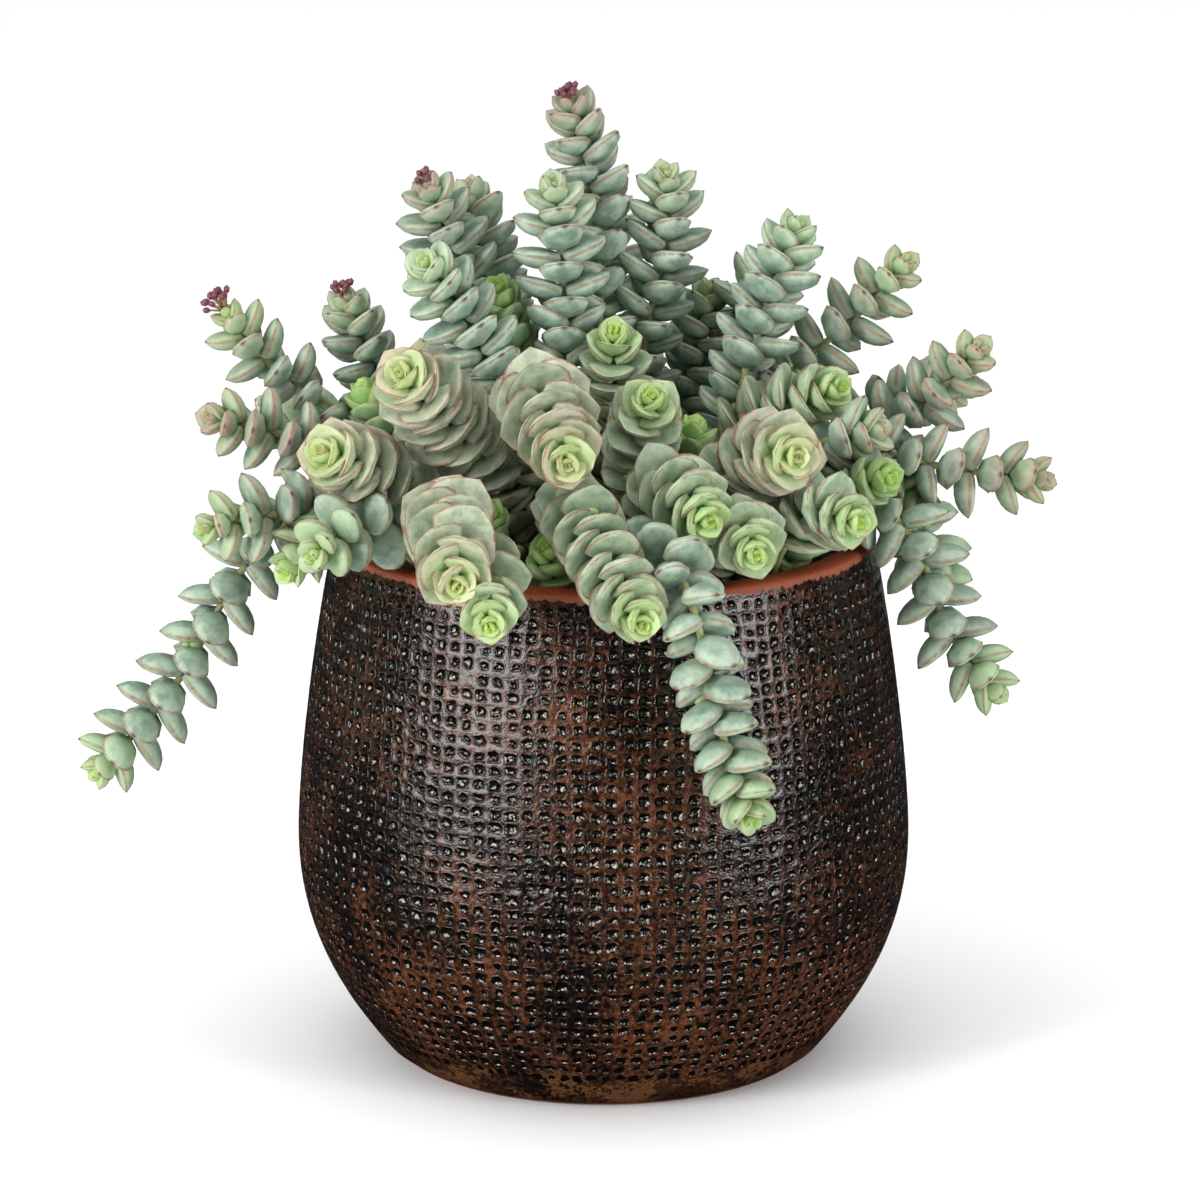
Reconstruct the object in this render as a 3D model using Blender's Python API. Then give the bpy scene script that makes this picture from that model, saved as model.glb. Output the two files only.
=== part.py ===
"""A crassula with stacked pairs of plump leaves, grown in a round-bellied glazed pot.

Sizes are in millimetres here and in metres in the scene. +Z is up, the pot's flat base is centred
on the origin, and the side of the plant that is usually seen faces -Y.
"""

import math

import bmesh
import bpy
import numpy as np
from mathutils import Matrix, Vector
from mathutils.bvhtree import BVHTree

MM = 0.001

POT_HEIGHT = 120.0
BASE_RADIUS = 49.0
BELLY_RADIUS = 70.0
BELLY_HEIGHT = 50.0
RIM_RADIUS = 61.0
FOOT_EDGE = 1.5
RIM_EDGE = 0.7
WALL = 6.0
FLOOR = 8.0
FLOOR_CORNER = 3.0
LOWER_FULLNESS = 2.15
UPPER_FULLNESS = 1.5
POT_SIDES = 32
OUTER_HEIGHTS = (FOOT_EDGE, 6, 14, 24, 36, 50, 68, 92, POT_HEIGHT - RIM_EDGE)
INNER_HEIGHTS = (18, 52, 84)

SOIL_TOP = 108.0
SOIL_GAP = 0.5
SOIL_HEIGHTS = (18, 52, SOIL_TOP)
HOLE_DEPTH = 8.0
HOLE_GAP = 0.9
HOLE_SIDES = 5

# The habit of each kind of stem: the leaf's length, its width as a share of that, its thickness,
# the space between pairs, how far full-grown leaves lean towards the tip, the stem's thickness,
# the length that is in leaf and the leaves' colour.
HABITS = {
    "column": {"leaf": 12.4, "wide": 0.96, "thick": 3.6, "space": 4.4, "lean": 20, "stem": 2.2,
               "leafy": 32, "colour": (0.36, 0.42, 0.33)},
    "spire": {"leaf": 10.8, "wide": 0.9, "thick": 4.2, "space": 5.0, "lean": 12, "stem": 2.0,
              "leafy": 37, "colour": (0.29, 0.41, 0.33)},
    "necklace": {"leaf": 10.0, "wide": 0.88, "thick": 4.8, "space": 5.7, "lean": 6, "stem": 1.8,
                 "leafy": 50, "colour": (0.26, 0.40, 0.32)},
    "trailing": {"leaf": 10.0, "wide": 0.88, "thick": 4.8, "space": 5.7, "lean": 6, "stem": 1.8,
                 "leafy": 84, "colour": (0.28, 0.42, 0.31)},
    "sprig": {"leaf": 8.6, "wide": 0.94, "thick": 3.4, "space": 4.0, "lean": 18, "stem": 1.8,
              "leafy": 24, "colour": (0.33, 0.48, 0.25)},
}

# Each stem: its habit, where it leaves the soil, and the points that it passes through to its tip.
STEMS = {
    "stem_column_front": ("column", (-11, -14), (-15, -26, 148), (-14, -40, 158), (-8, -62, 148)),
    "stem_column_left": ("column", (-20, -18), (-24, -21, 137), (-35, -37, 154), (-43, -48, 165)),
    "stem_column_far_left": ("column", (-33, -18), (-41, -27, 133), (-51, -40, 142), (-60, -49, 148)),
    "stem_column_over_rim_left": ("column", (-26, -34), (-34, -52, 133), (-31, -68, 132), (-30, -78, 125)),
    "stem_column_over_rim_front": ("column", (-3, -30), (-7, -46, 136), (-1, -66, 130), (8, -80, 117)),
    "stem_column_right": ("column", (19, -22), (28, -30, 136), (35, -39, 145), (41, -49, 147)),
    "stem_spire_left": ("spire", (-18, -5), (-22, -8, 150), (-31, -10, 170), (-39, -12, 183)),
    "stem_spire_right": ("spire", (19, 1), (28, -3, 144), (34, 0, 164), (43, 5, 188)),
    "stem_spire_centre": ("spire", (-7, -1), (-9, -4, 150), (-9, 0, 172), (-11, 2, 198)),
    "stem_spire_tall": ("spire", (-2, 13), (-1, 16, 163), (-1, 20, 188), (-7, 20, 214)),
    "stem_spire_behind_left": ("spire", (-21, 10), (-28, 15, 166), (-35, 13, 183), (-39, 10, 197)),
    "stem_spire_behind_right": ("spire", (9, 13), (10, 17, 163), (14, 18, 183), (14, 18, 198)),
    "stem_spire_far_left": ("spire", (-17, 26), (-24, 27, 166), (-31, 30, 193)),
    "stem_rosette_front_left": ("column", (-17, -33), (-24, -52, 129), (-26, -68, 127), (-24, -80, 117)),
    "stem_trailing_front": ("trailing", (12, -37), (13, -54, 130), (15, -65, 128), (19, -73, 119),
                            (23, -74, 100), (31, -78, 75)),
    "stem_trailing_left": ("trailing", (-42, -8), (-54, -13, 131), (-64, -16, 130), (-75, -17, 121),
                           (-97, -20, 87), (-113, -21, 69)),
    "stem_trailing_right": ("trailing", (41, -12), (54, -19, 131), (64, -22, 128), (70, -22, 119),
                            (76, -22, 103), (87, -24, 88)),
    "stem_arm_right_high": ("necklace", (28, 9), (42, 8, 154), (56, 10, 166), (68, 10, 179)),
    "stem_arm_right_middle": ("necklace", (36, 0), (62, 1, 142), (73, -1, 150), (84, -2, 162)),
    "stem_arm_right_low": ("necklace", (38, -7), (59, -13, 140), (77, -14, 137), (98, -12, 134)),
    "stem_arm_left_low": ("necklace", (-38, -26), (-58, -27, 127), (-73, -31, 130), (-87, -34, 128)),
    "stem_arm_left_rim": ("necklace", (-32, -26), (-46, -39, 129), (-54, -47, 131), (-62, -57, 127)),
    "stem_arm_left_middle": ("necklace", (-41, -3), (-68, -8, 142), (-87, -12, 148)),
    "stem_arm_left_high": ("necklace", (-37, 10), (-62, 7, 147), (-77, 4, 159), (-84, 2, 169)),
    "stem_arm_left_upper": ("spire", (-33, 20), (-48, 15, 145), (-55, 13, 159), (-58, 11, 170)),
    "stem_sprig_over_rim_left": ("sprig", (-41, -17), (-51, -23, 129), (-61, -29, 128), (-69, -33, 118)),
    "stem_sprig_centre": ("spire", (2, -8), (3, -6, 148), (2, -9, 167)),
    "stem_sprig_centre_left": ("sprig", (-13, 5), (-20, 2, 158), (-24, 4, 175)),
    "stem_rosette_centre_right": ("spire", (7, -15), (8, -24, 141), (10, -36, 158)),
    "stem_rosette_rim_right": ("spire", (10, -25), (13, -42, 139), (22, -61, 136)),
    "stem_rosette_right": ("spire", (26, -33), (29, -50, 131), (32, -62, 129)),
    "stem_rosette_far_right": ("spire", (37, -31), (47, -44, 134), (54, -54, 134)),
    "stem_shoulder_right": ("spire", (23, -9), (37, -12, 150), (52, -17, 156)),
    "stem_shoulder_right_low": ("spire", (29, -15), (48, -20, 144), (60, -25, 148)),
    "stem_shoulder_far_right": ("sprig", (46, -3), (64, -7, 132), (72, -11, 126)),
    "stem_inner_right": ("sprig", (34, -13), (54, -25, 136), (62, -33, 139)),
    "stem_inner_front_right": ("sprig", (30, -37), (35, -42, 130)),
    "stem_inner_rim_right": ("sprig", (40, -26), (43, -34, 128)),
    "stem_inner_front": ("sprig", (-12, -43), (-13, -50, 127)),
    "stem_inner_front_left": ("sprig", (-22, -41), (-24, -49, 134)),
    "stem_inner_left": ("sprig", (-38, -31), (-41, -36, 129)),
    "stem_inner_upper_left": ("sprig", (-33, 4), (-54, 1, 152)),
    "stem_inner_centre_right": ("sprig", (15, -12), (20, -14, 147)),
    "stem_spire_far_right": ("spire", (14, 26), (22, 32, 151), (24, 33, 169)),
    "stem_spire_farther_right": ("spire", (26, 20), (33, 29, 158), (35, 30, 176)),
    "stem_back_spire": ("spire", (0, 29), (2, 37, 158), (2, 41, 188)),
    "stem_back_column": ("column", (4, 42), (7, 56, 140), (6, 68, 147)),
    "stem_back_column_left": ("column", (-24, 38), (-36, 48, 140), (-44, 58, 146)),
    "stem_back_column_right": ("column", (30, 34), (42, 46, 138), (50, 54, 145)),
    "stem_back_trailing": ("trailing", (-10, 39), (-12, 54, 131), (-14, 67, 128), (-15, 76, 116),
                           (-19, 79, 92)),
    "stem_back_trailing_right": ("trailing", (39, 21), (50, 31, 131), (62, 38, 129), (71, 42, 117),
                                 (81, 46, 94)),
    "stem_back_arm_left": ("necklace", (-36, 24), (-46, 31, 129), (-60, 40, 136), (-80, 46, 137)),
    "stem_back_arm_right": ("necklace", (43, 10), (64, 20, 144), (84, 24, 150)),
    "stem_back_sprig_left": ("spire", (-11, 24), (-15, 33, 134), (-20, 44, 146)),
    "stem_back_sprig_right": ("spire", (15, 18), (20, 42, 134), (22, 52, 146)),
    "stem_back_sprig_low": ("sprig", (-25, 29), (-27, 42, 128), (-30, 50, 130)),
    "stem_back_sprig_rim": ("sprig", (31, 25), (34, 36, 128), (38, 43, 131)),
    "stem_back_over_rim": ("necklace", (17, 38), (22, 54, 130), (28, 67, 127), (32, 76, 114)),
}

SEED = 11

# A stem's route: it leaves its hole upright, and is pushed away from its neighbours by a share of
# the length of their leaves, but hardly at its tip.
ROUTE_STEP = 3.0
ROOT_GAP = 0.4
UPRIGHT = 2.0
CORNER_SHARE = 0.71
CLEARING_ROUNDS = 40
CLEARING_ROOM = 0.36
SPREADING_ROUNDS = 6
FIXED_FOOT = 3.0
LOOSER_OVER = 12.0
TIP_LOOSENESS = 0.25
TIP_STIFF_OVER = 30.0

# Down between the others a stem has lost its leaves, except the young ones by its tip.
SHADE_HEIGHT = 132.0
SHADE_RADIUS = 52.0
YOUNG_LENGTH = 10.0

# The youngest leaves are small, close together and nearly upright, and each pair below them is
# larger, further from the next and more level, until the leaves are full grown.
TIP_SHARE = 0.42
SHARE_STEP = 0.17
TIP_SPACE = 0.34
SPACE_STEP = 0.2
TIP_LEAN = 66
LEAN_STEP = 14
BASE_SHARE = 0.62
BUD_LENGTH = 2.4
BUD_HALF = 1.5
BUD_END = 0.8
THIN_TIP = 0.55
THICKER_OVER = 25.0

# A leaf that would come nearer than this to another stem is turned, leant or made smaller.
LEAF_GAP = 0.65
SIDE_TURNS = (0, 14, -14, 26, -26)
SIDE_LEANS = (0, 14, -12)
LEAF_SHARES = (1.0, 0.88, 0.78)
SHARED_RING_GAP = 2.2
BARE_RING_SPACE = 13.5
COLLAR = 9.6
LEAF_STATIONS = ((0.5, 1.0, 1.0), (0.91, 0.4, 0.3))
GUARD_STATIONS = ((0.1, 0.5, 1.4), (0.25, 0.8, 1.0), (0.5, 1.0, 1.0), (0.8, 0.76, 0.7))
LEFT, KEEL, RIGHT, TOP = range(4)
KEEL_SHARE = 0.6
THINNEST = 0.8
LEAF_ROUGHNESS = 0.55
CORNERS = ((-1, -1), (1, -1), (1, 1), (-1, 1))
WAYS = ((1, 0), (0, 1), (-1, 0), (0, -1))


def clear_scene():
    for old in list(bpy.data.objects):
        bpy.data.objects.remove(old, do_unlink=True)


def new_material(name, colour, roughness, coat=0.0):
    material = bpy.data.materials.new(name)
    material.use_nodes = True
    shader = material.node_tree.nodes["Principled BSDF"]
    shader.inputs["Base Color"].default_value = (*colour, 1)
    shader.inputs["Roughness"].default_value = roughness
    shader.inputs["Metallic"].default_value = 0
    shader.inputs["Coat Weight"].default_value = coat
    return material


def new_object(name, mesh, material, smooth_angle=0):
    """Turns a bmesh in millimetres into an object in metres."""
    bmesh.ops.scale(mesh, vec=(MM, MM, MM), verts=mesh.verts)
    data = bpy.data.meshes.new(name)
    mesh.to_mesh(data)
    mesh.free()
    data.materials.append(material)
    if smooth_angle:
        data.shade_smooth()
        data.set_sharp_from_angle(angle=math.radians(smooth_angle))
    made = bpy.data.objects.new(name, data)
    bpy.context.scene.collection.objects.link(made)
    return made


def pot_radius(height):
    """The pot's outer radius: full and round below the belly, drawn in gently above it."""
    if height < BELLY_HEIGHT:
        below = (BELLY_HEIGHT - height) / BELLY_HEIGHT
        return BELLY_RADIUS - (BELLY_RADIUS - BASE_RADIUS) * below**LOWER_FULLNESS
    above = (height - BELLY_HEIGHT) / (POT_HEIGHT - BELLY_HEIGHT)
    return BELLY_RADIUS - (BELLY_RADIUS - RIM_RADIUS) * above**UPPER_FULLNESS


def turned(outline):
    """Spins an outline of (radius, height) points, whose ends lie on the axis, into a closed mesh."""
    mesh = bmesh.new()
    chain = [mesh.verts.new((radius, 0, height)) for radius, height in outline]
    edges = [mesh.edges.new(ends) for ends in zip(chain, chain[1:])]
    bmesh.ops.spin(mesh, geom=chain + edges, cent=(0, 0, 0), axis=(0, 0, 1), angle=math.tau,
                   steps=POT_SIDES, use_merge=True)
    bmesh.ops.remove_doubles(mesh, verts=mesh.verts, dist=0.001)
    bmesh.ops.recalc_face_normals(mesh, faces=mesh.faces)
    return mesh


def make_pot():
    outer = [(pot_radius(height), height) for height in OUTER_HEIGHTS]
    inner = [(pot_radius(height) - WALL, height) for height in reversed(INNER_HEIGHTS)]
    foot = [(0, 0), (BASE_RADIUS - FOOT_EDGE, 0)]
    rim = [(RIM_RADIUS - RIM_EDGE, POT_HEIGHT), (RIM_RADIUS - WALL, POT_HEIGHT)]
    floor = [(pot_radius(FLOOR) - WALL - FLOOR_CORNER, FLOOR), (0, FLOOR)]
    mesh = turned(foot + outer + rim + inner + floor)
    glaze = new_material("brown_black_glaze", (0.035, 0.016, 0.009), 0.25, coat=0.6)
    return new_object("pot", mesh, glaze, smooth_angle=40)


def cut_holes(soil, roots):
    """Cuts a plain upright hole down into the soil for each stem."""
    cutters = bmesh.new()
    for place, width in roots:
        bmesh.ops.create_cone(cutters, segments=HOLE_SIDES, cap_ends=True, depth=2 * HOLE_DEPTH,
                              radius1=width, radius2=width,
                              matrix=Matrix.Translation((*place, SOIL_TOP)))
    cutter = new_object("hole_cutter", cutters, soil.data.materials[0])
    cut = soil.modifiers.new("holes", "BOOLEAN")
    cut.operation = "DIFFERENCE"
    cut.object = cutter
    cutter.hide_render = True
    cutter.display_type = "WIRE"


def make_soil(roots):
    side = [(pot_radius(height) - WALL - SOIL_GAP, height) for height in SOIL_HEIGHTS]
    corner = pot_radius(FLOOR) - WALL - FLOOR_CORNER - SOIL_GAP
    bottom = [(0, FLOOR + SOIL_GAP), (corner, FLOOR + SOIL_GAP)]
    soil = new_object("soil", turned(bottom + side + [(0, SOIL_TOP)]),
                      new_material("potting_soil", (0.022, 0.014, 0.009), 0.95))
    cut_holes(soil, roots)
    return soil


def curve_through(points):
    """A smooth curve that sets out straight up and passes through the points, with even bends."""
    points = np.array(points, float)
    spans = np.linalg.norm(np.diff(points, axis=0), axis=1)[:, None]
    slopes = np.diff(points, axis=0) / spans
    inner = (slopes[:-1] * spans[1:] + slopes[1:] * spans[:-1]) / (spans[:-1] + spans[1:])
    tangents = np.vstack([[(0, 0, 1)], inner, slopes[-1:]])
    curve = [points[0]]
    for start, stop, leaving, arriving, span in zip(points, points[1:], tangents, tangents[1:], spans):
        count = max(1, round(span[0] / ROUTE_STEP))
        for t in np.linspace(0, 1, count + 1)[1:]:
            curve.append((2 * t**3 - 3 * t**2 + 1) * start + (3 * t**2 - 2 * t**3) * stop
                         + span * ((t**3 - 2 * t**2 + t) * leaving + (t**3 - t**2) * arriving))
    return np.array(curve)


def first_route(root, points):
    """Straight up out of the hole in the soil, and on through the stem's points."""
    bottom = SOIL_TOP - HOLE_DEPTH + ROOT_GAP
    steps = math.ceil((SOIL_TOP - bottom) / ROUTE_STEP) + 1
    hole = [(*root, height) for height in np.linspace(bottom, SOIL_TOP, steps)]
    return np.vstack([hole, curve_through([(*root, SOIL_TOP + UPRIGHT), *points])])


def evened(moves):
    """Spreads the moves of one stem's points along it, so that the stem bends and doesn't kink."""
    for _ in range(SPREADING_ROUNDS):
        padded = np.vstack([moves[:1], moves, moves[-1:]])
        moves = (padded[:-2] + 2 * padded[1:-1] + padded[2:]) / 4
    return moves


def looseness(route):
    """How freely each point of a stem may move: not at all in its hole, and little at its tip."""
    rise = np.clip((route[:, 2] - SOIL_TOP - FIXED_FOOT) / LOOSER_OVER, 0, 1)
    from_tip = np.linspace(len(route) - 1, 0, len(route)) * ROUTE_STEP
    return (rise * np.clip(TIP_LOOSENESS + from_tip / TIP_STIFF_OVER, 0, 1))[:, None]


def bend_clear(routes, reaches):
    """Bends neighbouring stems away from each other."""
    owner = np.repeat(np.arange(len(routes)), [len(route) for route in routes])
    points = np.concatenate(routes)
    loose = np.concatenate([looseness(route) for route in routes])
    room = CLEARING_ROOM * np.array(reaches)[owner]
    strangers = owner[:, None] != owner[None]
    for _ in range(CLEARING_ROUNDS):
        apart = points[:, None] - points[None]
        distance = np.linalg.norm(apart, axis=2) + 1e-6
        short = np.clip(room[:, None] + room[None] - distance, 0, None) * strangers
        moves = (apart * (short / distance)[..., None]).sum(axis=1)
        moves /= np.maximum((short > 0).sum(axis=1), 1)[:, None]
        moves = np.concatenate([evened(moves[owner == one]) for one in range(len(routes))])
        points = points + 0.5 * moves * loose
    return [points[owner == one] for one in range(len(routes))]


class Stem:
    """A stem's route, with its frames, and the leaves that found room on it."""

    def __init__(self, name, habit, route, seed):
        self.name = name
        self.habit = HABITS[habit]
        self.route = route
        steps = np.linalg.norm(np.diff(route, axis=0), axis=1)
        self.along = np.concatenate([[0], np.cumsum(steps)])
        self.length = self.along[-1]
        self.draw = np.random.RandomState(seed)
        self.sides = self.transported_sides()
        self.pairs = self.place_pairs()
        self.leaves = {}

    def transported_sides(self):
        """A side direction for each route point, turned as little as possible along the stem."""
        tangents = np.gradient(self.route, axis=0)
        angle = self.draw.uniform(0, math.pi / 2)
        side = Vector((math.cos(angle), math.sin(angle), 0))
        sides = []
        for tangent in tangents:
            tangent = Vector(tangent).normalized()
            side = (side - tangent * side.dot(tangent)).normalized()
            sides.append(side.copy())
        return np.array(sides)

    def frame(self, at):
        """The centre, the direction of growth and the two side directions at a length from the root."""
        centre = Vector([np.interp(at, self.along, self.route[:, axis]) for axis in range(3)])
        ahead = [np.interp(at + 1, self.along, self.route[:, axis]) for axis in range(3)]
        behind = [np.interp(at - 1, self.along, self.route[:, axis]) for axis in range(3)]
        growth = (Vector(ahead) - Vector(behind)).normalized()
        side = Vector([np.interp(at, self.along, self.sides[:, axis]) for axis in range(3)])
        side = (side - growth * side.dot(growth)).normalized()
        return centre, growth, side, growth.cross(side)

    def shaded(self, at):
        """Whether the stem is still down between the others, where it has lost its leaves."""
        centre = self.frame(at)[0]
        return centre.z < SHADE_HEIGHT and math.hypot(centre.x, centre.y) < SHADE_RADIUS

    def place_pairs(self):
        """Each pair of leaves from the tip down: its place, size, lean and the height of its base."""
        pairs = []
        below = BUD_LENGTH
        while below < self.habit["leafy"] and (below < YOUNG_LENGTH
                                               or not self.shaded(self.length - below)):
            age = len(pairs) + 1
            space = self.habit["space"] * min(1, TIP_SPACE + SPACE_STEP * age)
            size = min(1, TIP_SHARE + SHARE_STEP * age) * self.draw.uniform(0.94, 1.04)
            lean = max(self.habit["lean"], TIP_LEAN - LEAN_STEP * age) + self.draw.uniform(-4, 4)
            pairs.append({"at": self.length - below, "size": size, "lean": lean,
                          "base": BASE_SHARE * space, "turn": self.draw.uniform(-7, 7)})
            below += space
        return pairs


def leaf_frame(stem, index, side, more_turn, more_lean):
    """Where a leaf starts, the way it grows out, the way across it and the way up from its top."""
    pair = stem.pairs[index]
    centre, growth, first, second = stem.frame(pair["at"])
    way = WAYS[(index % 2) + 2 * side]
    out = first * way[0] + second * way[1]
    out = Matrix.Rotation(math.radians(pair["turn"] + more_turn), 3, growth) @ out
    lean = math.radians(pair["lean"] + more_lean)
    blade = out * math.cos(lean) + growth * math.sin(lean)
    return centre, blade, growth.cross(out), growth * math.cos(lean) - out * math.sin(lean)


def leaf_rings(stem, index, side, stations, swell=0.0, share=1.0, more_turn=0, more_lean=0):
    """A leaf's corners, left, keel, right and top, at each station, and its tip."""
    start, blade, across, upper = leaf_frame(stem, index, side, more_turn, more_lean)
    size = stem.pairs[index]["size"]
    length = stem.habit["leaf"] * size * share
    half = length * stem.habit["wide"] / 2 + swell
    thick = max(THINNEST, stem.habit["thick"] * size**0.8 * share**0.5) + 2 * swell
    rings = []
    for along, wide, deep in stations:
        middle = start + blade * (length * along)
        rings.append((middle - across * (half * wide), middle - upper * (thick * KEEL_SHARE * deep),
                      middle + across * (half * wide),
                      middle + upper * (thick * (1 - KEEL_SHARE) * deep)))
    return rings, start + blade * (length + swell)


def leaf_guard(stem, index, side, swell, **changes):
    """A closed stand-in for one leaf, grown by swell, its middle and its reach."""
    rings, tip = leaf_rings(stem, index, side, GUARD_STATIONS, swell, **changes)
    start = stem.frame(stem.pairs[index]["at"])[0]
    corners = [start] + [corner for ring in rings for corner in ring] + [tip]
    faces = [(0, 1 + corner, 1 + (corner + 1) % 4) for corner in range(4)]
    last = len(corners) - 5
    for low in range(1, last, 4):
        faces += [(low + corner, low + 4 + corner, low + 4 + (corner + 1) % 4, low + (corner + 1) % 4)
                  for corner in range(4)]
    faces += [(last + corner, last + 4, last + (corner + 1) % 4) for corner in range(4)]
    middle = (start + tip) / 2
    return BVHTree.FromPolygons(corners, faces), middle, max((corner - middle).length for corner in corners)


def core_rings(stem):
    """Lengths from the root at which the stem has a ring of corners, and each pair's two rings."""
    spans = []
    for pair in reversed(stem.pairs):
        spans.append([pair["at"] - pair["base"] / 2, pair["at"] + pair["base"] / 2])
    for lower, upper in zip(spans, spans[1:]):
        if upper[0] - lower[1] < SHARED_RING_GAP:
            lower[1] = upper[0] = (lower[1] + upper[0]) / 2
    first = spans[0][0] if spans else stem.length
    bends = max(1, round((first - COLLAR) / BARE_RING_SPACE))
    places = [0] + list(np.linspace(COLLAR, first, bends + 1)[:-1])
    for lower, upper in spans:
        places += [place for place in (lower, upper) if not places or place > places[-1] + 1e-6]
    return places, list(reversed(spans))


def core_half(stem, at):
    """Half the stem's thickness: thinner towards the tip, where it ends in a bud."""
    if stem.length - at < BUD_LENGTH:
        return BUD_HALF
    return stem.habit["stem"] / 2 * min(1, THIN_TIP + (stem.length - at) / THICKER_OVER)


def core_corners(stem, at):
    centre, _, first, second = stem.frame(at)
    half = core_half(stem, at)
    return {(i, j): centre + first * (half * i) + second * (half * j) for i, j in CORNERS}


def core_guard(stem):
    """The stem without leaves, for testing leaves of other stems against it."""
    places, _ = core_rings(stem)
    corners = []
    for at in places:
        corners += core_corners(stem, at).values()
    faces = []
    for low in range(0, len(corners) - 4, 4):
        for side in range(4):
            after = (side + 1) % 4
            faces.append((low + side, low + after, low + 4 + after, low + 4 + side))
    return BVHTree.FromPolygons(corners, faces)


def find_room(stems, fixed):
    """Gives each leaf, youngest first, a turn, a lean and a size in which it touches no other stem."""
    cores = [core_guard(stem) for stem in stems]
    middles = np.empty((0, 3))
    reaches = np.empty(0)
    guards = []
    owners = []
    for index in range(max(len(stem.pairs) for stem in stems)):
        for number, stem in enumerate(stems):
            if index >= len(stem.pairs):
                continue
            for side in (0, 1):
                changes, kept = leaf_with_room(stem, index, side, fixed, cores, guards, middles,
                                               reaches, owners, number)
                if changes is None:
                    continue
                stem.leaves[index, side] = changes
                guard, middle, reach = kept
                guards.append(guard)
                owners.append(number)
                middles = np.vstack([middles, middle])
                reaches = np.append(reaches, reach)


def leaf_with_room(stem, index, side, fixed, cores, guards, middles, reaches, owners, number):
    others = np.array(owners) != number
    for share in LEAF_SHARES:
        for lean in SIDE_LEANS:
            for turn in SIDE_TURNS:
                changes = {"share": share, "more_turn": turn, "more_lean": lean}
                tested, middle, reach = leaf_guard(stem, index, side, LEAF_GAP, **changes)
                near = []
                if guards:
                    close = np.linalg.norm(middles - np.array(middle), axis=1) < reaches + reach
                    near = [guards[one] for one in np.flatnonzero(close & others)]
                near += [core for one, core in enumerate(cores) if one != number] + fixed
                if not any(tested.overlap(other) for other in near):
                    return changes, leaf_guard(stem, index, side, 0, **changes)
    return None, None


def extruded(mesh, face):
    return bmesh.ops.extrude_discrete_faces(mesh, faces=[face])["faces"][0]


def grow_leaf(mesh, face, base, middle_ring, end_ring):
    """Draws a leaf out of one side face of the stem: out to its widest, then in to a blunt end."""
    ranks = {place.copy().freeze(): rank for rank, place in enumerate(base)}
    for ring in (middle_ring, end_ring):
        face = extruded(mesh, face)
        held = {}
        for corner in face.verts:
            rank = ranks[corner.co.copy().freeze()]
            corner.co = ring[rank]
            held[corner.co.copy().freeze()] = rank
        ranks = held
    ends = {ranks[corner.co.copy().freeze()]: corner for corner in face.verts}
    bmesh.ops.weld_verts(mesh, targetmap={ends[KEEL]: ends[LEFT], ends[TOP]: ends[RIGHT]})


def place_ring(ring, stem, at):
    corners = core_corners(stem, at)
    for key, corner in ring.items():
        corner.co = corners[key]


def raise_ring(mesh, ring):
    """Extrudes the stem's end face, and returns the new ring of corners, each under its key."""
    keys = {ring[key].co.copy().freeze(): key for key in CORNERS}
    top = extruded(mesh, mesh.faces.get([ring[key] for key in CORNERS]))
    return {keys[corner.co.copy().freeze()]: corner for corner in top.verts}


def make_core(mesh, stem, places):
    """Extrudes the stem from its root to its tip, and returns its rings of corners."""
    cube = bmesh.ops.create_cube(mesh, size=2)["verts"]
    rings = [{(round(corner.co.x), round(corner.co.y)): corner for corner in cube if corner.co.z * end > 0}
             for end in (-1, 1)]
    for ring, at in zip(rings, places):
        place_ring(ring, stem, at)
    for at in places[2:]:
        rings.append(raise_ring(mesh, rings[-1]))
        place_ring(rings[-1], stem, at)
    end = raise_ring(mesh, rings[-1])
    centre, growth, _, _ = stem.frame(stem.length)
    bmesh.ops.pointmerge(mesh, verts=list(end.values()), merge_co=centre + growth * BUD_END)
    return rings


def make_stem(stem, material):
    """Extrudes the stem, then each leaf from one of the stem's side faces."""
    places, spans = core_rings(stem)
    mesh = bmesh.new()
    rings = make_core(mesh, stem, places)
    for (index, side), changes in stem.leaves.items():
        low, high = (rings[places.index(place)] for place in spans[index])
        way = WAYS[(index % 2) + 2 * side]
        left, right = (key for key in CORNERS if key[0] * way[0] + key[1] * way[1] > 0)
        if left[0] * way[1] - left[1] * way[0] < 0:
            left, right = right, left
        base = [low[left], low[right], high[right], high[left]]
        ends, _ = leaf_rings(stem, index, side, LEAF_STATIONS, **changes)
        grow_leaf(mesh, mesh.faces.get(base), [corner.co for corner in base], *ends)
    bmesh.ops.triangulate(mesh, faces=mesh.faces, quad_method="SHORT_EDGE")
    bmesh.ops.recalc_face_normals(mesh, faces=mesh.faces)
    return new_object(stem.name, mesh, material)


def guard_of(made):
    """The surface of a finished object, in millimetres, for testing leaves against."""
    corners = [vertex.co / MM for vertex in made.data.vertices]
    return BVHTree.FromPolygons(corners, [tuple(face.vertices) for face in made.data.polygons])


def main():
    clear_scene()
    names = list(STEMS)
    reaches = [HABITS[STEMS[name][0]]["leaf"] for name in names]
    routes = [first_route(STEMS[name][1], STEMS[name][2:]) for name in names]
    routes = bend_clear(routes, reaches)
    stems = [Stem(name, STEMS[name][0], route, SEED + number)
             for number, (name, route) in enumerate(zip(names, routes))]
    pot = make_pot()
    roots = [(STEMS[stem.name][1], stem.habit["stem"] * CORNER_SHARE + HOLE_GAP) for stem in stems]
    soil = make_soil(roots)
    find_room(stems, [guard_of(pot), guard_of(soil)])
    for stem in stems:
        make_stem(stem, new_material(f"{stem.name}_leaf", stem.habit["colour"], LEAF_ROUGHNESS))


main()
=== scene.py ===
import math

import bmesh
import bpy
import numpy as np
from mathutils import Matrix, Vector, noise
from mathutils.bvhtree import BVHTree


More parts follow.
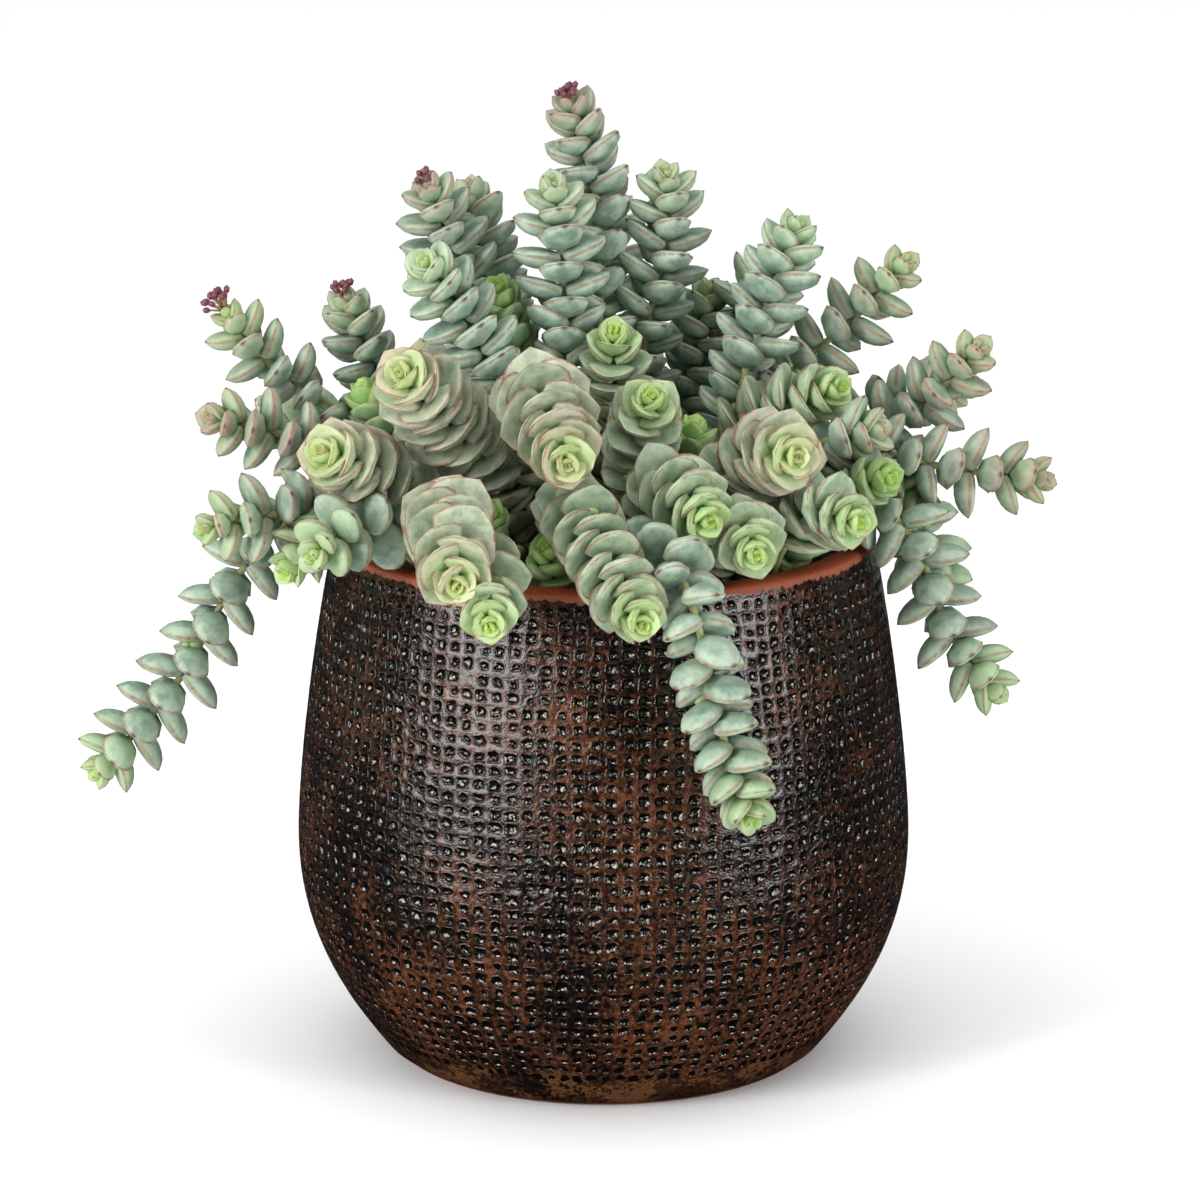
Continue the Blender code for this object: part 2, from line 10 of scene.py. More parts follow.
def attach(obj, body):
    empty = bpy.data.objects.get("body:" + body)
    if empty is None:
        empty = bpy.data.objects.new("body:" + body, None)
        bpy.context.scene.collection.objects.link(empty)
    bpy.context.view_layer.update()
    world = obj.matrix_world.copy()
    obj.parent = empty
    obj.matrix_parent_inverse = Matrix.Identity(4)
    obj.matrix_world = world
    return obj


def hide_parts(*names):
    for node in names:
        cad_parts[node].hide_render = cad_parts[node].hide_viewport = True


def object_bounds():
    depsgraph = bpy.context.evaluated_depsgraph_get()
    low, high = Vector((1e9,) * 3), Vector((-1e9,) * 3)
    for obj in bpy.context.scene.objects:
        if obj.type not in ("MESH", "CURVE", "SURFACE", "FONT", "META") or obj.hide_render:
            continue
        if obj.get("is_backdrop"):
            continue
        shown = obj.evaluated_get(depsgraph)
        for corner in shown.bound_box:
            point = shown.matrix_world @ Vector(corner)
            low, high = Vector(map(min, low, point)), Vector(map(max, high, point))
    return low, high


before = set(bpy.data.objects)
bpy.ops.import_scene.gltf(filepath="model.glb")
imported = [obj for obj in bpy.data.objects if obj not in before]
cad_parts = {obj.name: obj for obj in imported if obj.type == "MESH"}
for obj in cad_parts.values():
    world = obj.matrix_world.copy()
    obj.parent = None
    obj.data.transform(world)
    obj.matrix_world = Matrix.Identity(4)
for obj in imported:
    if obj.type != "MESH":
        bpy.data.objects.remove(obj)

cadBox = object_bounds()
millimetre = 0.001


# Camera, light and floor.
view = {"away": 0.9739, "height": 0.3445, "aside": -0.0008, "tilt": 76.1, "lens": 132.8, "sensor": 36,
        "nearest": 0.05}

studio = {
    "floorColour": (0.93, 0.93, 0.93), "floorMirrored": (0.022, 0.021, 0.020), "floorSize": 9,
    "floorRoughness": 0.9, "floorShine": 0.1,
    # How bright the room is in front and behind, and where along Y it changes. The camera sees white.
    "room": (0.36, 0.62, -0.75, 0.35), "mirroredRoom": (0.004, 0.4, 0.45, 0.95), "white": 1.05,
    # Soft boxes: turn round the pot, how far away, height, wide, tall, watts. The strips only light
    # the pot and the plant, and the wider boxes are only seen mirrored in them.
    "strips": ((-48, 1.15, 0.42, 0.22, 0.9, 12.5), (52, 1.2, 0.40, 0.15, 0.85, 7.5)),
    "mirrored": ((-50, 1.15, 0.42, 0.92, 0.98, 17.5), (55, 1.2, 0.42, 0.60, 0.92, 11.0)),
    "aim": (0, 0, 0.1),
    "roof": (1.74, 75),             # strength, softness in degrees
}


def addObject(name, data):
    made = bpy.data.objects.new(name, data)
    bpy.context.scene.collection.objects.link(made)
    return made


def addMesh(name, mesh, materials):
    data = bpy.data.meshes.new(name)
    mesh.to_mesh(data)
    mesh.free()
    for material in materials:
        data.materials.append(material)
    return addObject(name, data)


def makeCamera():
    camera = addObject("camera", bpy.data.cameras.new("camera"))
    camera.data.sensor_width = view["sensor"]
    camera.data.lens = view["lens"]
    camera.data.clip_start = view["nearest"]
    camera.location = (view["aside"], -view["away"], view["height"])
    camera.rotation_euler = (math.radians(view["tilt"]), 0, 0)
    bpy.context.scene.camera = camera


def makeSoftBox(name, box, onlyMirrored):
    turn, away, height, wide, tall, watts = box
    light = addObject(name, bpy.data.lights.new(name, "AREA"))
    light.visible_diffuse = not onlyMirrored
    light.visible_glossy = onlyMirrored
    light.data.shape = "RECTANGLE"
    light.data.size = wide
    light.data.size_y = tall
    light.data.energy = watts
    angle = math.radians(turn)
    place = Vector((away * math.sin(angle), -away * math.cos(angle), height))
    light.location = place
    light.rotation_euler = (Vector(studio["aim"]) - place).to_track_quat("-Z", "Y").to_euler()


def makeFloor():
    mesh = bmesh.new()
    bmesh.ops.create_grid(mesh, x_segments=1, y_segments=1, size=studio["floorSize"])
    paper, tree = newMaterial("pale_paper")
    mirror = addNode(tree, "ShaderNodeLightPath")["Is Glossy Ray"]
    colour = mixColours(mirror, studio["floorColour"], studio["floorMirrored"])
    finishMaterial(paper, colour, studio["floorRoughness"], studio["floorShine"])
    addMesh("floor", mesh, [paper])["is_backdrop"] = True


def makeStudio():
    for kind in ("strips", "mirrored"):
        for number, box in enumerate(studio[kind]):
            makeSoftBox(f"{kind}_light_{number + 1}", box, kind == "mirrored")
    roof = addObject("roof_light", bpy.data.lights.new("roof_light", "SUN"))
    roof.data.energy = studio["roof"][0]
    roof.data.angle = math.radians(studio["roof"][1])
    roof.visible_glossy = False

    world = bpy.data.worlds.new("studio")
    bpy.context.scene.world = world
    world.use_nodes = True
    tree = world.node_tree
    where = addNode(tree, "ShaderNodeTexCoord")["Generated"]
    toBack = addNode(tree, "ShaderNodeSeparateXYZ", {0: where})["Y"]
    lit, mirrored = (toBack.ramp(low, high, front, back)
                     for front, back, low, high in (studio["room"], studio["mirroredRoom"]))
    ray = addNode(tree, "ShaderNodeLightPath")
    seen = mixValues(ray["Is Camera Ray"], mixValues(ray["Is Glossy Ray"], lit, mirrored), studio["white"])
    background = tree.nodes["Background"]
    feed(background.inputs["Strength"], seen)
    feed(background.inputs["Color"], (1, 1, 1))
    bpy.context.scene.view_settings.view_transform = "Standard"
    makeFloor()


# Helpers for nodes, materials and meshes.
class Flow:
    # What a node puts out. Sums of flows make the nodes that work them out.
    def __init__(self, socket):
        self.socket = socket

    def node(self, kind, values, **settings):
        return addNode(self.socket.id_data, kind, values, **settings)

    def worked(self, operation, *values):
        kind = "ShaderNodeMath" if self.socket.type == "VALUE" else "ShaderNodeVectorMath"
        return self.node(kind, dict(enumerate(values)), operation=operation)[0]

    def __add__(self, other):
        return self.worked("ADD", self, other)

    def __sub__(self, other):
        return self.worked("SUBTRACT", self, other)

    def __rsub__(self, other):
        return self.worked("SUBTRACT", other, self)

    def __mul__(self, other):
        return self.worked("MULTIPLY", self, other)

    def __truediv__(self, other):
        return self.worked("DIVIDE", self, other)

    def __pow__(self, other):
        return self.worked("POWER", self, other)

    def __abs__(self):
        return self.worked("ABSOLUTE", self)

    def larger(self, other):
        return self.worked("MAXIMUM", self, other)

    def clamped(self):
        self.socket.node.use_clamp = True
        return self

    def ramp(self, low, high, fromZero=0.0, toOne=1.0):
        # Goes smoothly from one level to another while the value goes from low to high.
        values = {"Value": self, "From Min": low, "From Max": high, "To Min": fromZero, "To Max": toOne}
        return self.node("ShaderNodeMapRange", values, interpolation_type="SMOOTHSTEP")[0]

    def grain(self, scale, detail=2.0, rough=0.5, distortion=0.0, output="Fac"):
        values = {"Vector": self, "Scale": scale, "Detail": detail, "Roughness": rough,
                  "Distortion": distortion}
        return self.node("ShaderNodeTexNoise", values)[output]


def feed(socket, value):
    if isinstance(value, Flow):
        socket.id_data.links.new(value.socket, socket)
    else:
        socket.default_value = (*value, 1) if socket.type == "RGBA" else value


def addNode(tree, kind, values=None, **settings):
    # Makes a node, feeds its inputs and gives its outputs by their names and numbers.
    node = tree.nodes.new(kind)
    for key, value in settings.items():
        setattr(node, key, value)
    for key, value in (values or {}).items():
        feed(node.inputs[key], value)
    return numbered(node.outputs)


def numbered(sockets):
    flows = [Flow(socket) for socket in sockets]
    return {**{flow.socket.name: flow for flow in reversed(flows)}, **dict(enumerate(flows))}


def mixValues(share, first, second):
    return share.node("ShaderNodeMix", {0: share, 2: first, 3: second})[0]


def mixColours(share, first, second):
    return share.node("ShaderNodeMix", {0: share, 6: first, 7: second}, data_type="RGBA")[2]


def screen(red, green, blue):
    # A colour as a screen shows it, 0 to 255, turned into the shader's own linear one.
    return tuple(c / 255 / 12.92 if c < 10.3 else ((c / 255 + 0.055) / 1.055) ** 2.4
                 for c in (red, green, blue))


def newGroup(name, inputs, outputs):
    # inputs and outputs: {kind of socket: its names}. Gives the group and what comes into it.
    group = bpy.data.node_groups.new(name, "ShaderNodeTree")
    for side, sockets in (("INPUT", inputs), ("OUTPUT", outputs)):
        for kind, names in sockets.items():
            for socket in names.split():
                group.interface.new_socket(socket, in_out=side, socket_type=f"NodeSocket{kind}")
    return group, addNode(group, "NodeGroupInput")


def useGroup(tree, group, **values):
    return addNode(tree, "ShaderNodeGroup", values, node_tree=group)


def newMaterial(name):
    material = bpy.data.materials.new(name)
    material.use_nodes = True
    return material, material.node_tree


def objectPlace(tree):
    return addNode(tree, "ShaderNodeTexCoord")["Object"]


def finishMaterial(material, colour, roughness, shine, bump=None, metal=0):
    # bump: the height, the strength and the distance in metres.
    shader = material.node_tree.nodes["Principled BSDF"]
    feed(shader.inputs["Base Color"], colour)
    feed(shader.inputs["Roughness"], roughness)
    feed(shader.inputs["Metallic"], metal)
    feed(shader.inputs["Specular IOR Level"], shine)
    if bump:
        height, strength, distance = bump
        values = {"Height": height, "Strength": strength, "Distance": distance}
        feed(shader.inputs["Normal"], addNode(material.node_tree, "ShaderNodeBump", values)[0])
    return material


def finishPiece(name, mesh, materials, node):
    # Scales a bmesh to metres and puts it in the place of a node.
    bmesh.ops.scale(mesh, vec=(millimetre,) * 3, verts=mesh.verts)
    piece = addMesh(name, mesh, materials)
    piece.data.shade_smooth()
    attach(piece, "root")
    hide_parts(node)
    return piece


# The pot: red clay under a dark glaze, pressed with a coarse weave.
pot = {
    "height": 120.0, "baseRadius": 49.0, "bellyRadius": 70.0, "bellyHeight": 50.0, "rimRadius": 61.0,
    "lowerFullness": 2.15, "upperFullness": 1.5, "wall": 6.0,
    # Radius and height under the foot, over the lip and at the edge of the floor inside.
    "foot": ((0, 0.9), (41, 0.9), (42.2, 0), (47.1, 0), (48.3, 0.25), (49.2, 1.1)),
    "lip": ((61.5, 118.6), (61.2, 119.4), (60.5, 119.9), (59.4, 120), (56.6, 120), (55.6, 119.7),
            (55.1, 119.0), (55.2, 117), (56.7, 109)),
    "insideHeights": (100, 84, 66, 52, 36, 18), "floorEdge": ((49, 9), (45, 8), (0, 8)),
}

weave = {
    "columns": 116, "rows": 38, "first": 2.4, "last": 117.6, "seed": 5,
    "depth": 0.45, "sizes": (0.45, 1.2), "missing": 0.04, "footBand": (6.5, 10.0),
    "shoulder": 0.2,                # how far into its cell a pit's side starts
    # How deep a place in a cell is pressed, by its steps across and up from the ridge, 2 in the middle.
    "pressed": {(0, 0): 0.0, (0, 1): 0.02, (0, 2): 0.1, (1, 1): 0.36, (1, 2): 0.72, (2, 2): 1.0},
    # How far the ridges wander sideways and upwards, over how many rows they calm down at the foot and
    # the lip, and how much of the pits' depth is left there.
    "slip": 1.54, "rise": 1.12, "wave": 34, "calmRows": 8, "calmPits": (0.25, 0.3),
    # How noise varies the pits' depth and the wall: a middle level, how far from it and how finely.
    "depthVaries": (0.8, 0.5, 2.3), "unevenness": 0.35, "wallVaries": (0.5, 0.5, 0.9),
}

# The shader's square pits, one to a cell, in shares of a cell, and the part of the wall that has them.
pits = {
    "jitter": 0.2, "wobble": 0.5, "wobbleScale": 560, "sizes": (0.20, 0.33), "squareness": 2.8,
    "edge": (0.02, -0.07), "rimIn": (-0.03, 0.03), "rimOut": (0.14, 0.04), "pressedFrom": (0.0, 0.01),
    "topEdge": (0.1172, 0.1158), "footEdge": (0.0070, 0.0095),
}

glaze = {
    "dark": (0.0026, 0.0018, 0.0014), "brown": (0.038, 0.0143, 0.0059), "rust": (0.122, 0.0375, 0.0129),
    "ochre": (0.110, 0.046, 0.0175), "mirror": (0.130, 0.121, 0.112),
    "roughness": (0.3, 0.7, 0.10, 0.22), "rustRougher": 0.16, "pitRoughness": 0.06, "specular": 0.75,
    # Noise: scale, detail, roughness and distortion.
    "patches": (22, 3, 0.55), "blotches": (75, 5, 0.65), "specks": (480, 5, 0.75),
    "flecks": (820, 3, 0.65), "wrinkles": (700, 1, 0.4, 1.2), "crinkles": (1700, 1, 0.4, 2.0),
    "swellings": (110, 1), "waves": (110, 2), "ripples": (700, 2),
    # How much of each noise thins the glaze, and how thin it is where it turns brown and rusty.
    "patchesThin": 0.8, "blotchesThin": 0.7, "flecksThin": 1.3, "thinBelow": (0.045, 0.004, 0.0, 0.10),
    "brownFrom": (1.30, 1.51), "rustFrom": (1.47, 1.75), "rustOutOfPits": 0.6,
    "mirrorFrom": (0.45, 0.9), "metalFrom": (0.05, 0.5),
    "foot": (0.0115, 0.0080), "ochreFrom": (0.86, 0.94), "ochreFlecks": 0.7,
    # Where the glaze ends: how its edge wavers, its height, its lower edge and the bare inside.
    "edgeWaves": 0.0020, "edgeRipples": 0.0024, "edgeMiddle": 0.0022, "topEdge": (0.1178, 0.1184),
    "lowEdge": (0.0009, 0.0004), "insideRadius": (0.0585, 0.0575), "insideHeight": (0.09, 0.1),
    # The relief: strength and distance in metres, and how much of each thing is in it.
    "bump": (0.9, 0.0008), "bowlDepth": 0.8, "rimRise": 0.16, "wrinkled": 0.16, "crinkled": 0.08,
    "swollen": 0.25, "livelyInPits": (0.05, 0.5, 0.8, 1.5),
}

clay = {
    "red": (0.235, 0.045, 0.0150), "pale": (0.30, 0.066, 0.023), "dark": (0.12, 0.030, 0.012),
    "roughness": 0.85, "specular": 0.15, "bump": (0.3, 0.0004), "relief": 0.16,
    "grains": (1700, 2, 0.6), "specks": (480, 5, 0.75),
    "paleFrom": (0.3, 0.75), "darkFrom": (0.52, 0.72, 0.0, 0.5),
}


def potRadius(height):
    # Full and round below the belly, drawn in gently above it.
    if height < pot["bellyHeight"]:
        below = (pot["bellyHeight"] - height) / pot["bellyHeight"]
        return pot["bellyRadius"] - (pot["bellyRadius"] - pot["baseRadius"]) * below ** pot["lowerFullness"]
    above = (height - pot["bellyHeight"]) / (pot["height"] - pot["bellyHeight"])
    return pot["bellyRadius"] - (pot["bellyRadius"] - pot["rimRadius"]) * above ** pot["upperFullness"]


def weaveHeights():
    # Heights of the rings in the pressed part, evenly spaced over the curve, four to a row of pits.
    fine = np.linspace(weave["first"], weave["last"], 600)
    radii = np.array([potRadius(height) for height in fine])
    run = np.concatenate([[0], np.cumsum(np.hypot(np.diff(fine), np.diff(radii)))])
    share = []
    for row in range(weave["rows"]):
        share += [row, row + weave["shoulder"], row + 0.5, row + 1 - weave["shoulder"]]
    share = np.array(share + [weave["rows"]]) / weave["rows"]
    return np.interp(share * run[-1], run, fine)


def spinRound(mesh, outline, steps, ring=None):
    # Turns points of radius and height once round the upright axis. ring keeps each point's number.
    chain = [mesh.verts.new((radius, 0, height)) for radius, height in outline]
    if ring is not None:
        for number, vertex in enumerate(chain):
            vertex[ring] = number
    edges = [mesh.edges.new(ends) for ends in zip(chain, chain[1:])]
    bmesh.ops.spin(mesh, geom=chain + edges, cent=(0, 0, 0), axis=(0, 0, 1), angle=math.tau, steps=steps,
                   use_merge=True)
    onAxis = [vertex for vertex in mesh.verts if vertex.co.xy.length < 0.01]
    bmesh.ops.remove_doubles(mesh, verts=onAxis, dist=0.01)


def makePot():
    wall = [(potRadius(height), height) for height in weaveHeights()]
    inside = [(potRadius(height) - pot["wall"], height) for height in pot["insideHeights"]]
    mesh = bmesh.new()
    ring = mesh.verts.layers.int.new("ring")
    spinRound(mesh, [*pot["foot"], *wall, *pot["lip"], *inside, *pot["floorEdge"]], 4 * weave["columns"],
              ring)
    bmesh.ops.recalc_face_normals(mesh, faces=mesh.faces)
    pressPits(mesh, ring, len(wall))
    for face in mesh.faces:
        if min(vertex[ring] for vertex in face.verts) > len(pot["foot"]) + len(wall):
            face.material_index = 1
    bareClay = makeClayGroup()
    return finishPiece("glazed_pot", mesh, [makeGlaze(bareClay), makeClay(bareClay)], "pot")


def pressPits(mesh, ring, rings):
    # Every fourth ring and column is a ridge between pits, and the ridges wander as cloth does.
    draw = np.random.RandomState(weave["seed"])
    around = 4 * weave["columns"]
    sizes = draw.uniform(*weave["sizes"], (weave["rows"] + 1, weave["columns"] + 1))
    sizes *= draw.uniform(0, 1, sizes.shape) > weave["missing"]
    usual, varies, finer = weave["depthVaries"]
    middle, swelling, wider = weave["wallVaries"]
    low, high = weave["footBand"]
    places = {}
    for vertex in mesh.verts:
        row = vertex[ring] - len(pot["foot"])
        x, y, z = vertex.co
        if not 0 <= row < rings:
            continue
        angle = math.atan2(y, x) % math.tau
        column = round(angle / math.tau * around) % around
        places[vertex] = (row, column)
        near = Vector((x, y, z)) / weave["wave"]
        slip = noise.noise(near + Vector((7, 0, 0))) * weave["slip"]
        rise = noise.noise(near + Vector((0, 9, 0))) * weave["rise"]
        calm = min(1, row / weave["calmRows"], (rings - 1 - row) / weave["calmRows"])
        step = column % 4
        if step in (1, 3):
            cell = math.tau * math.hypot(x, y) / weave["columns"]
            slip += (weave["shoulder"] - 0.25) * (1 if step == 1 else -1) * cell
        place = tuple(sorted((min(step, 4 - step), min(row % 4, 4 - row % 4))))
        pressed = weave["pressed"][place] * sizes[row // 4, column // 4]
        pressed *= usual + varies * noise.noise(near * finer)
        pressed *= min(1, max(0, (z - low) / (high - low))) * min(1, calm + weave["calmPits"][0])
        z += rise * calm
        radius = potRadius(z) - weave["depth"] * pressed * min(1, calm + weave["calmPits"][1])
        swell = middle + swelling * noise.noise(near * wider + Vector((3, 3, 3)))
        radius -= weave["unevenness"] * calm * swell
        angle += slip * calm / radius
        vertex.co = (radius * math.cos(angle), radius * math.sin(angle), z)
    layWeave(mesh, places, around, rings)


def layWeave(mesh, places, around, rings):
    # The UV map "weave" goes once round the pot and from the first row of pits to the last.
    marks = mesh.loops.layers.uv.new("weave")
    for face in mesh.faces:
        found = [places.get(loop.vert) for loop in face.loops]
        if None in found:
            continue
        wraps = max(column for _, column in found) > around // 2
        for loop, (row, column) in zip(face.loops, found):
            if wraps and column == 0:
                column = around
            loop[marks].uv = (column / around, row / (rings - 1))


def makePitGroup():
    # Rounded square pits, one to a cell, each with its own size and place and an uneven outline.
    group, given = newGroup("pressedPits", {"Vector": "Weave Position"}, {"Float": "Pit Bowl Rim"})
    cells = given["Weave"] * (weave["columns"], weave["rows"], 0)
    chance = addNode(group, "ShaderNodeTexWhiteNoise", {"Vector": cells.worked("FLOOR", cells)})
    middle = (0.5, 0.5, 0.5)
    shift = (chance["Color"] - middle) * ((pits["jitter"],) * 3)
    uneven = given["Position"].grain(pits["wobbleScale"], output="Color")
    wobble = (uneven - middle) * ((pits["wobble"],) * 3)
    within = cells.worked("FRACTION", cells) - middle + shift + wobble
    parts = addNode(group, "ShaderNodeSeparateXYZ", {0: within})
    power = pits["squareness"]
    distance = (abs(parts["X"]) ** power + abs(parts["Y"]) ** power) ** (1 / power)
    size = chance["Value"].ramp(0.0, 1.0, *pits["sizes"])
    outside = distance - size
    pressed = chance["Value"].ramp(*pits["pressedFrom"])
    addNode(group, "NodeGroupOutput", {
        "Pit": outside.ramp(*pits["edge"]) * pressed,
        "Bowl": (1 - (distance / size) ** 2).clamped() * pressed,
        "Rim": outside.ramp(*pits["rimIn"]) * outside.ramp(*pits["rimOut"]) * pressed})
    return group


def makeClayGroup():
    # Clay, paler and darker in fine grains.
    group, given = newGroup("bareClay", {"Vector": "Position", "Color": "Clay"},
                            {"Color": "Colour", "Float": "Grains"})
    grains = given["Position"].grain(*clay["grains"])
    colour = mixColours(grains.ramp(*clay["paleFrom"]), given["Clay"], clay["pale"])
    dark = given["Position"].grain(*clay["specks"]).ramp(*clay["darkFrom"])
    addNode(group, "NodeGroupOutput", {"Colour": mixColours(dark, colour, clay["dark"]), "Grains": grains})
    return group


def makeClay(bareClay):
    material, tree = newMaterial("bare_clay")
    made = useGroup(tree, bareClay, Position=objectPlace(tree), Clay=clay["red"])
    return finishMaterial(material, made["Colour"], clay["roughness"], clay["specular"],
                          (made["Grains"], *clay["bump"]))


def makeGlazeGroup(bareClay):
    # The glaze with its pits, from masks that the material gives, and bare clay where it ends.
    group, given = newGroup("firedGlaze", {"Vector": "Position", "Float": "Height Pit Bowl Rim",
                            "Color": "Dark Brown Rust Ochre Mirror Clay"},
                            {"Color": "Colour", "Float": "Roughness Relief Metal"})
    where, height, pit, bowl = [given[name] for name in ("Position", "Height", "Pit", "Bowl")]
    noises = {name: where.grain(*glaze[name]) for name in (
        "patches", "blotches", "specks", "flecks", "wrinkles", "crinkles", "swellings", "waves", "ripples")}

    # Rust shows where the glaze ran thin: in clouds, in small patches and less so in the pits.
    thin = noises["patches"] * glaze["patchesThin"] + noises["blotches"] * glaze["blotchesThin"]
    thin = thin + height.ramp(*glaze["thinBelow"]) + noises["flecks"] * glaze["flecksThin"]
    foot = height.ramp(*glaze["foot"])
    rust = (thin.ramp(*glaze["rustFrom"]) * (1 - pit * glaze["rustOutOfPits"])).clamped() * (1 - foot)
    colour = mixColours(thin.ramp(*glaze["brownFrom"]), given["Dark"], given["Brown"])
    colour = mixColours(rust, colour, given["Rust"])
    colour = mixColours(pit.ramp(*glaze["mirrorFrom"]), colour, given["Mirror"])
    mottled = noises["blotches"] + noises["flecks"] * glaze["ochreFlecks"]
    colour = mixColours(mottled.ramp(*glaze["ochreFrom"]) * foot, colour, given["Ochre"])

    # Bare clay on the rim, inside and under the foot, with a wavering edge to the glaze.
    waver = noises["waves"] * glaze["edgeWaves"] + noises["ripples"] * glaze["edgeRipples"]
    bare = (height + (waver - glaze["edgeMiddle"])).ramp(*glaze["topEdge"])
    bare = bare.larger(height.ramp(*glaze["lowEdge"]))
    across = where * (1, 1, 0)
    radius = across.node("ShaderNodeVectorMath", {0: across}, operation="LENGTH")["Value"]
    bare = bare.larger(radius.ramp(*glaze["insideRadius"]) * height.ramp(*glaze["insideHeight"]))
    under = useGroup(group, bareClay, Position=where, Clay=given["Clay"])

    gloss = rust * glaze["rustRougher"] + noises["specks"].ramp(*glaze["roughness"])
    gloss = mixValues(bare, mixValues(pit, gloss, glaze["pitRoughness"]), clay["roughness"])
    relief = bowl * -glaze["bowlDepth"] + given["Rim"] * glaze["rimRise"]
    lively = bowl.ramp(*glaze["livelyInPits"])
    for layer, amount in (("wrinkles", glaze["wrinkled"]), ("crinkles", glaze["crinkled"])):
        relief = relief + (noises[layer] - 0.5) * amount * lively
    relief = relief + noises["swellings"] * glaze["swollen"]
    addNode(group, "NodeGroupOutput", {
        "Colour": mixColours(bare, colour, under["Colour"]), "Roughness": gloss,
        "Relief": mixValues(bare, relief, under["Grains"] * clay["relief"]),
        "Metal": pit.ramp(*glaze["metalFrom"]) * (1 - bare)})
    return group


def makeGlaze(bareClay):
    material, tree = newMaterial("brown_black_glaze")
    where = objectPlace(tree)
    height = addNode(tree, "ShaderNodeSeparateXYZ", {0: where})["Z"]
    marks = addNode(tree, "ShaderNodeUVMap", uv_map="weave")[0]
    woven = useGroup(tree, makePitGroup(), Position=where, Weave=marks)
    onWall = height.ramp(*pits["topEdge"]) * height.ramp(*pits["footEdge"])
    masks = {name: woven[name] * onWall for name in ("Pit", "Bowl", "Rim")}
    colours = {name.capitalize(): glaze[name] for name in ("dark", "brown", "rust", "ochre", "mirror")}
    coloured = useGroup(tree, makeGlazeGroup(bareClay), Position=where, Height=height, Clay=clay["red"],
                        **masks, **colours)
    return finishMaterial(material, coloured["Colour"], coloured["Roughness"], glaze["specular"],
                          (coloured["Relief"], *glaze["bump"]), coloured["Metal"])


# The potting soil and its grit.
soil = {
    "top": 108.0, "gap": 0.5, "thick": 12, "chamfer": 1.5, "around": 120, "rings": 30, "seed": 8,
    # Lumps in the surface: their height and size, the share and fineness of smaller ones on them, how
    # much lower all this lies, and the flat border left at the wall.
    "lumps": 1.5, "lumpScale": 5, "smaller": (0.5, 2.7), "lower": 0.4, "border": 0.5,
    # Grit: how many grains, their sizes and how uneven they are, how high they lie in shares of their
    # size and how much that varies, how far from the wall they stay, and which grains are pale.
    "grit": 520, "gritSizes": (0.5, 1.5), "gritLumps": 0.28, "gritRise": 0.25, "gritVaries": 0.6,
    "gritBorder": 2, "paleEvery": 11,
    "dark": (0.010, 0.0065, 0.0045), "brown": (0.052, 0.033, 0.020), "crumbs": (420, 4, 0.7),
    "brownFrom": (0.35, 0.7), "roughness": 0.95, "specular": 0.2, "bump": (0.8, 0.0008),
    "gritDark": (0.10, 0.075, 0.055), "gritPale": (0.27, 0.23, 0.18), "gritGrain": (260, 3),
    "gritRoughness": 0.9, "gritSpecular": 0.5,
}


def makeSoil():
    edge = potRadius(soil["top"]) - pot["wall"] - soil["gap"]
    low = soil["top"] - soil["thick"]
    mesh = bmesh.new()
    spinRound(mesh, [(0, low), (edge - soil["chamfer"], low)] + [
        (edge * share, soil["top"]) for share in np.linspace(1, 0, soil["rings"])], soil["around"])
    share, finer = soil["smaller"]
    for vertex in mesh.verts:
        if vertex.co.z > soil["top"] - 1 and vertex.co.xy.length < edge - soil["border"]:
            near = vertex.co / soil["lumpScale"]
            lump = noise.noise(near) + share * noise.noise(near * finer) - soil["lower"]
            vertex.co.z += soil["lumps"] * lump
    scatterGrit(mesh, edge - soil["gritBorder"])
    bmesh.ops.recalc_face_normals(mesh, faces=mesh.faces)
    return finishPiece("potting_soil", mesh, [makeSoilMaterial(), makeGritMaterial()], "soil")


def scatterGrit(mesh, reach):
    draw = np.random.RandomState(soil["seed"])
    for number in range(soil["grit"]):
        angle = draw.uniform(0, math.tau)
        away = reach * math.sqrt(draw.uniform(0, 1))
        size = draw.uniform(*soil["gritSizes"])
        height = soil["top"] + soil["gritRise"] * size + draw.uniform(-soil["gritVaries"], soil["gritVaries"])
        place = Matrix.Translation((away * math.cos(angle), away * math.sin(angle), height))
        turn = Matrix.Rotation(draw.uniform(0, math.tau), 4, Vector(draw.normal(size=3)).normalized())
        lump = bmesh.ops.create_icosphere(mesh, subdivisions=1, radius=size, matrix=place @ turn)["verts"]
        for vertex in lump:
            vertex.co += Vector(draw.uniform(-soil["gritLumps"], soil["gritLumps"], 3)) * size
        if number % soil["paleEvery"] == 0:
            for face in {face for vertex in lump for face in vertex.link_faces}:
                face.material_index = 1


def makeSoilMaterial():
    material, tree = newMaterial("potting_soil")
    crumbs = objectPlace(tree).grain(*soil["crumbs"])
    colour = mixColours(crumbs.ramp(*soil["brownFrom"]), soil["dark"], soil["brown"])
    return finishMaterial(material, colour, soil["roughness"], soil["specular"], (crumbs, *soil["bump"]))


def makeGritMaterial():
    material, tree = newMaterial("pale_grit")
    colour = mixColours(objectPlace(tree).grain(*soil["gritGrain"]), soil["gritDark"], soil["gritPale"])
    return finishMaterial(material, colour, soil["gritRoughness"], soil["gritSpecular"])


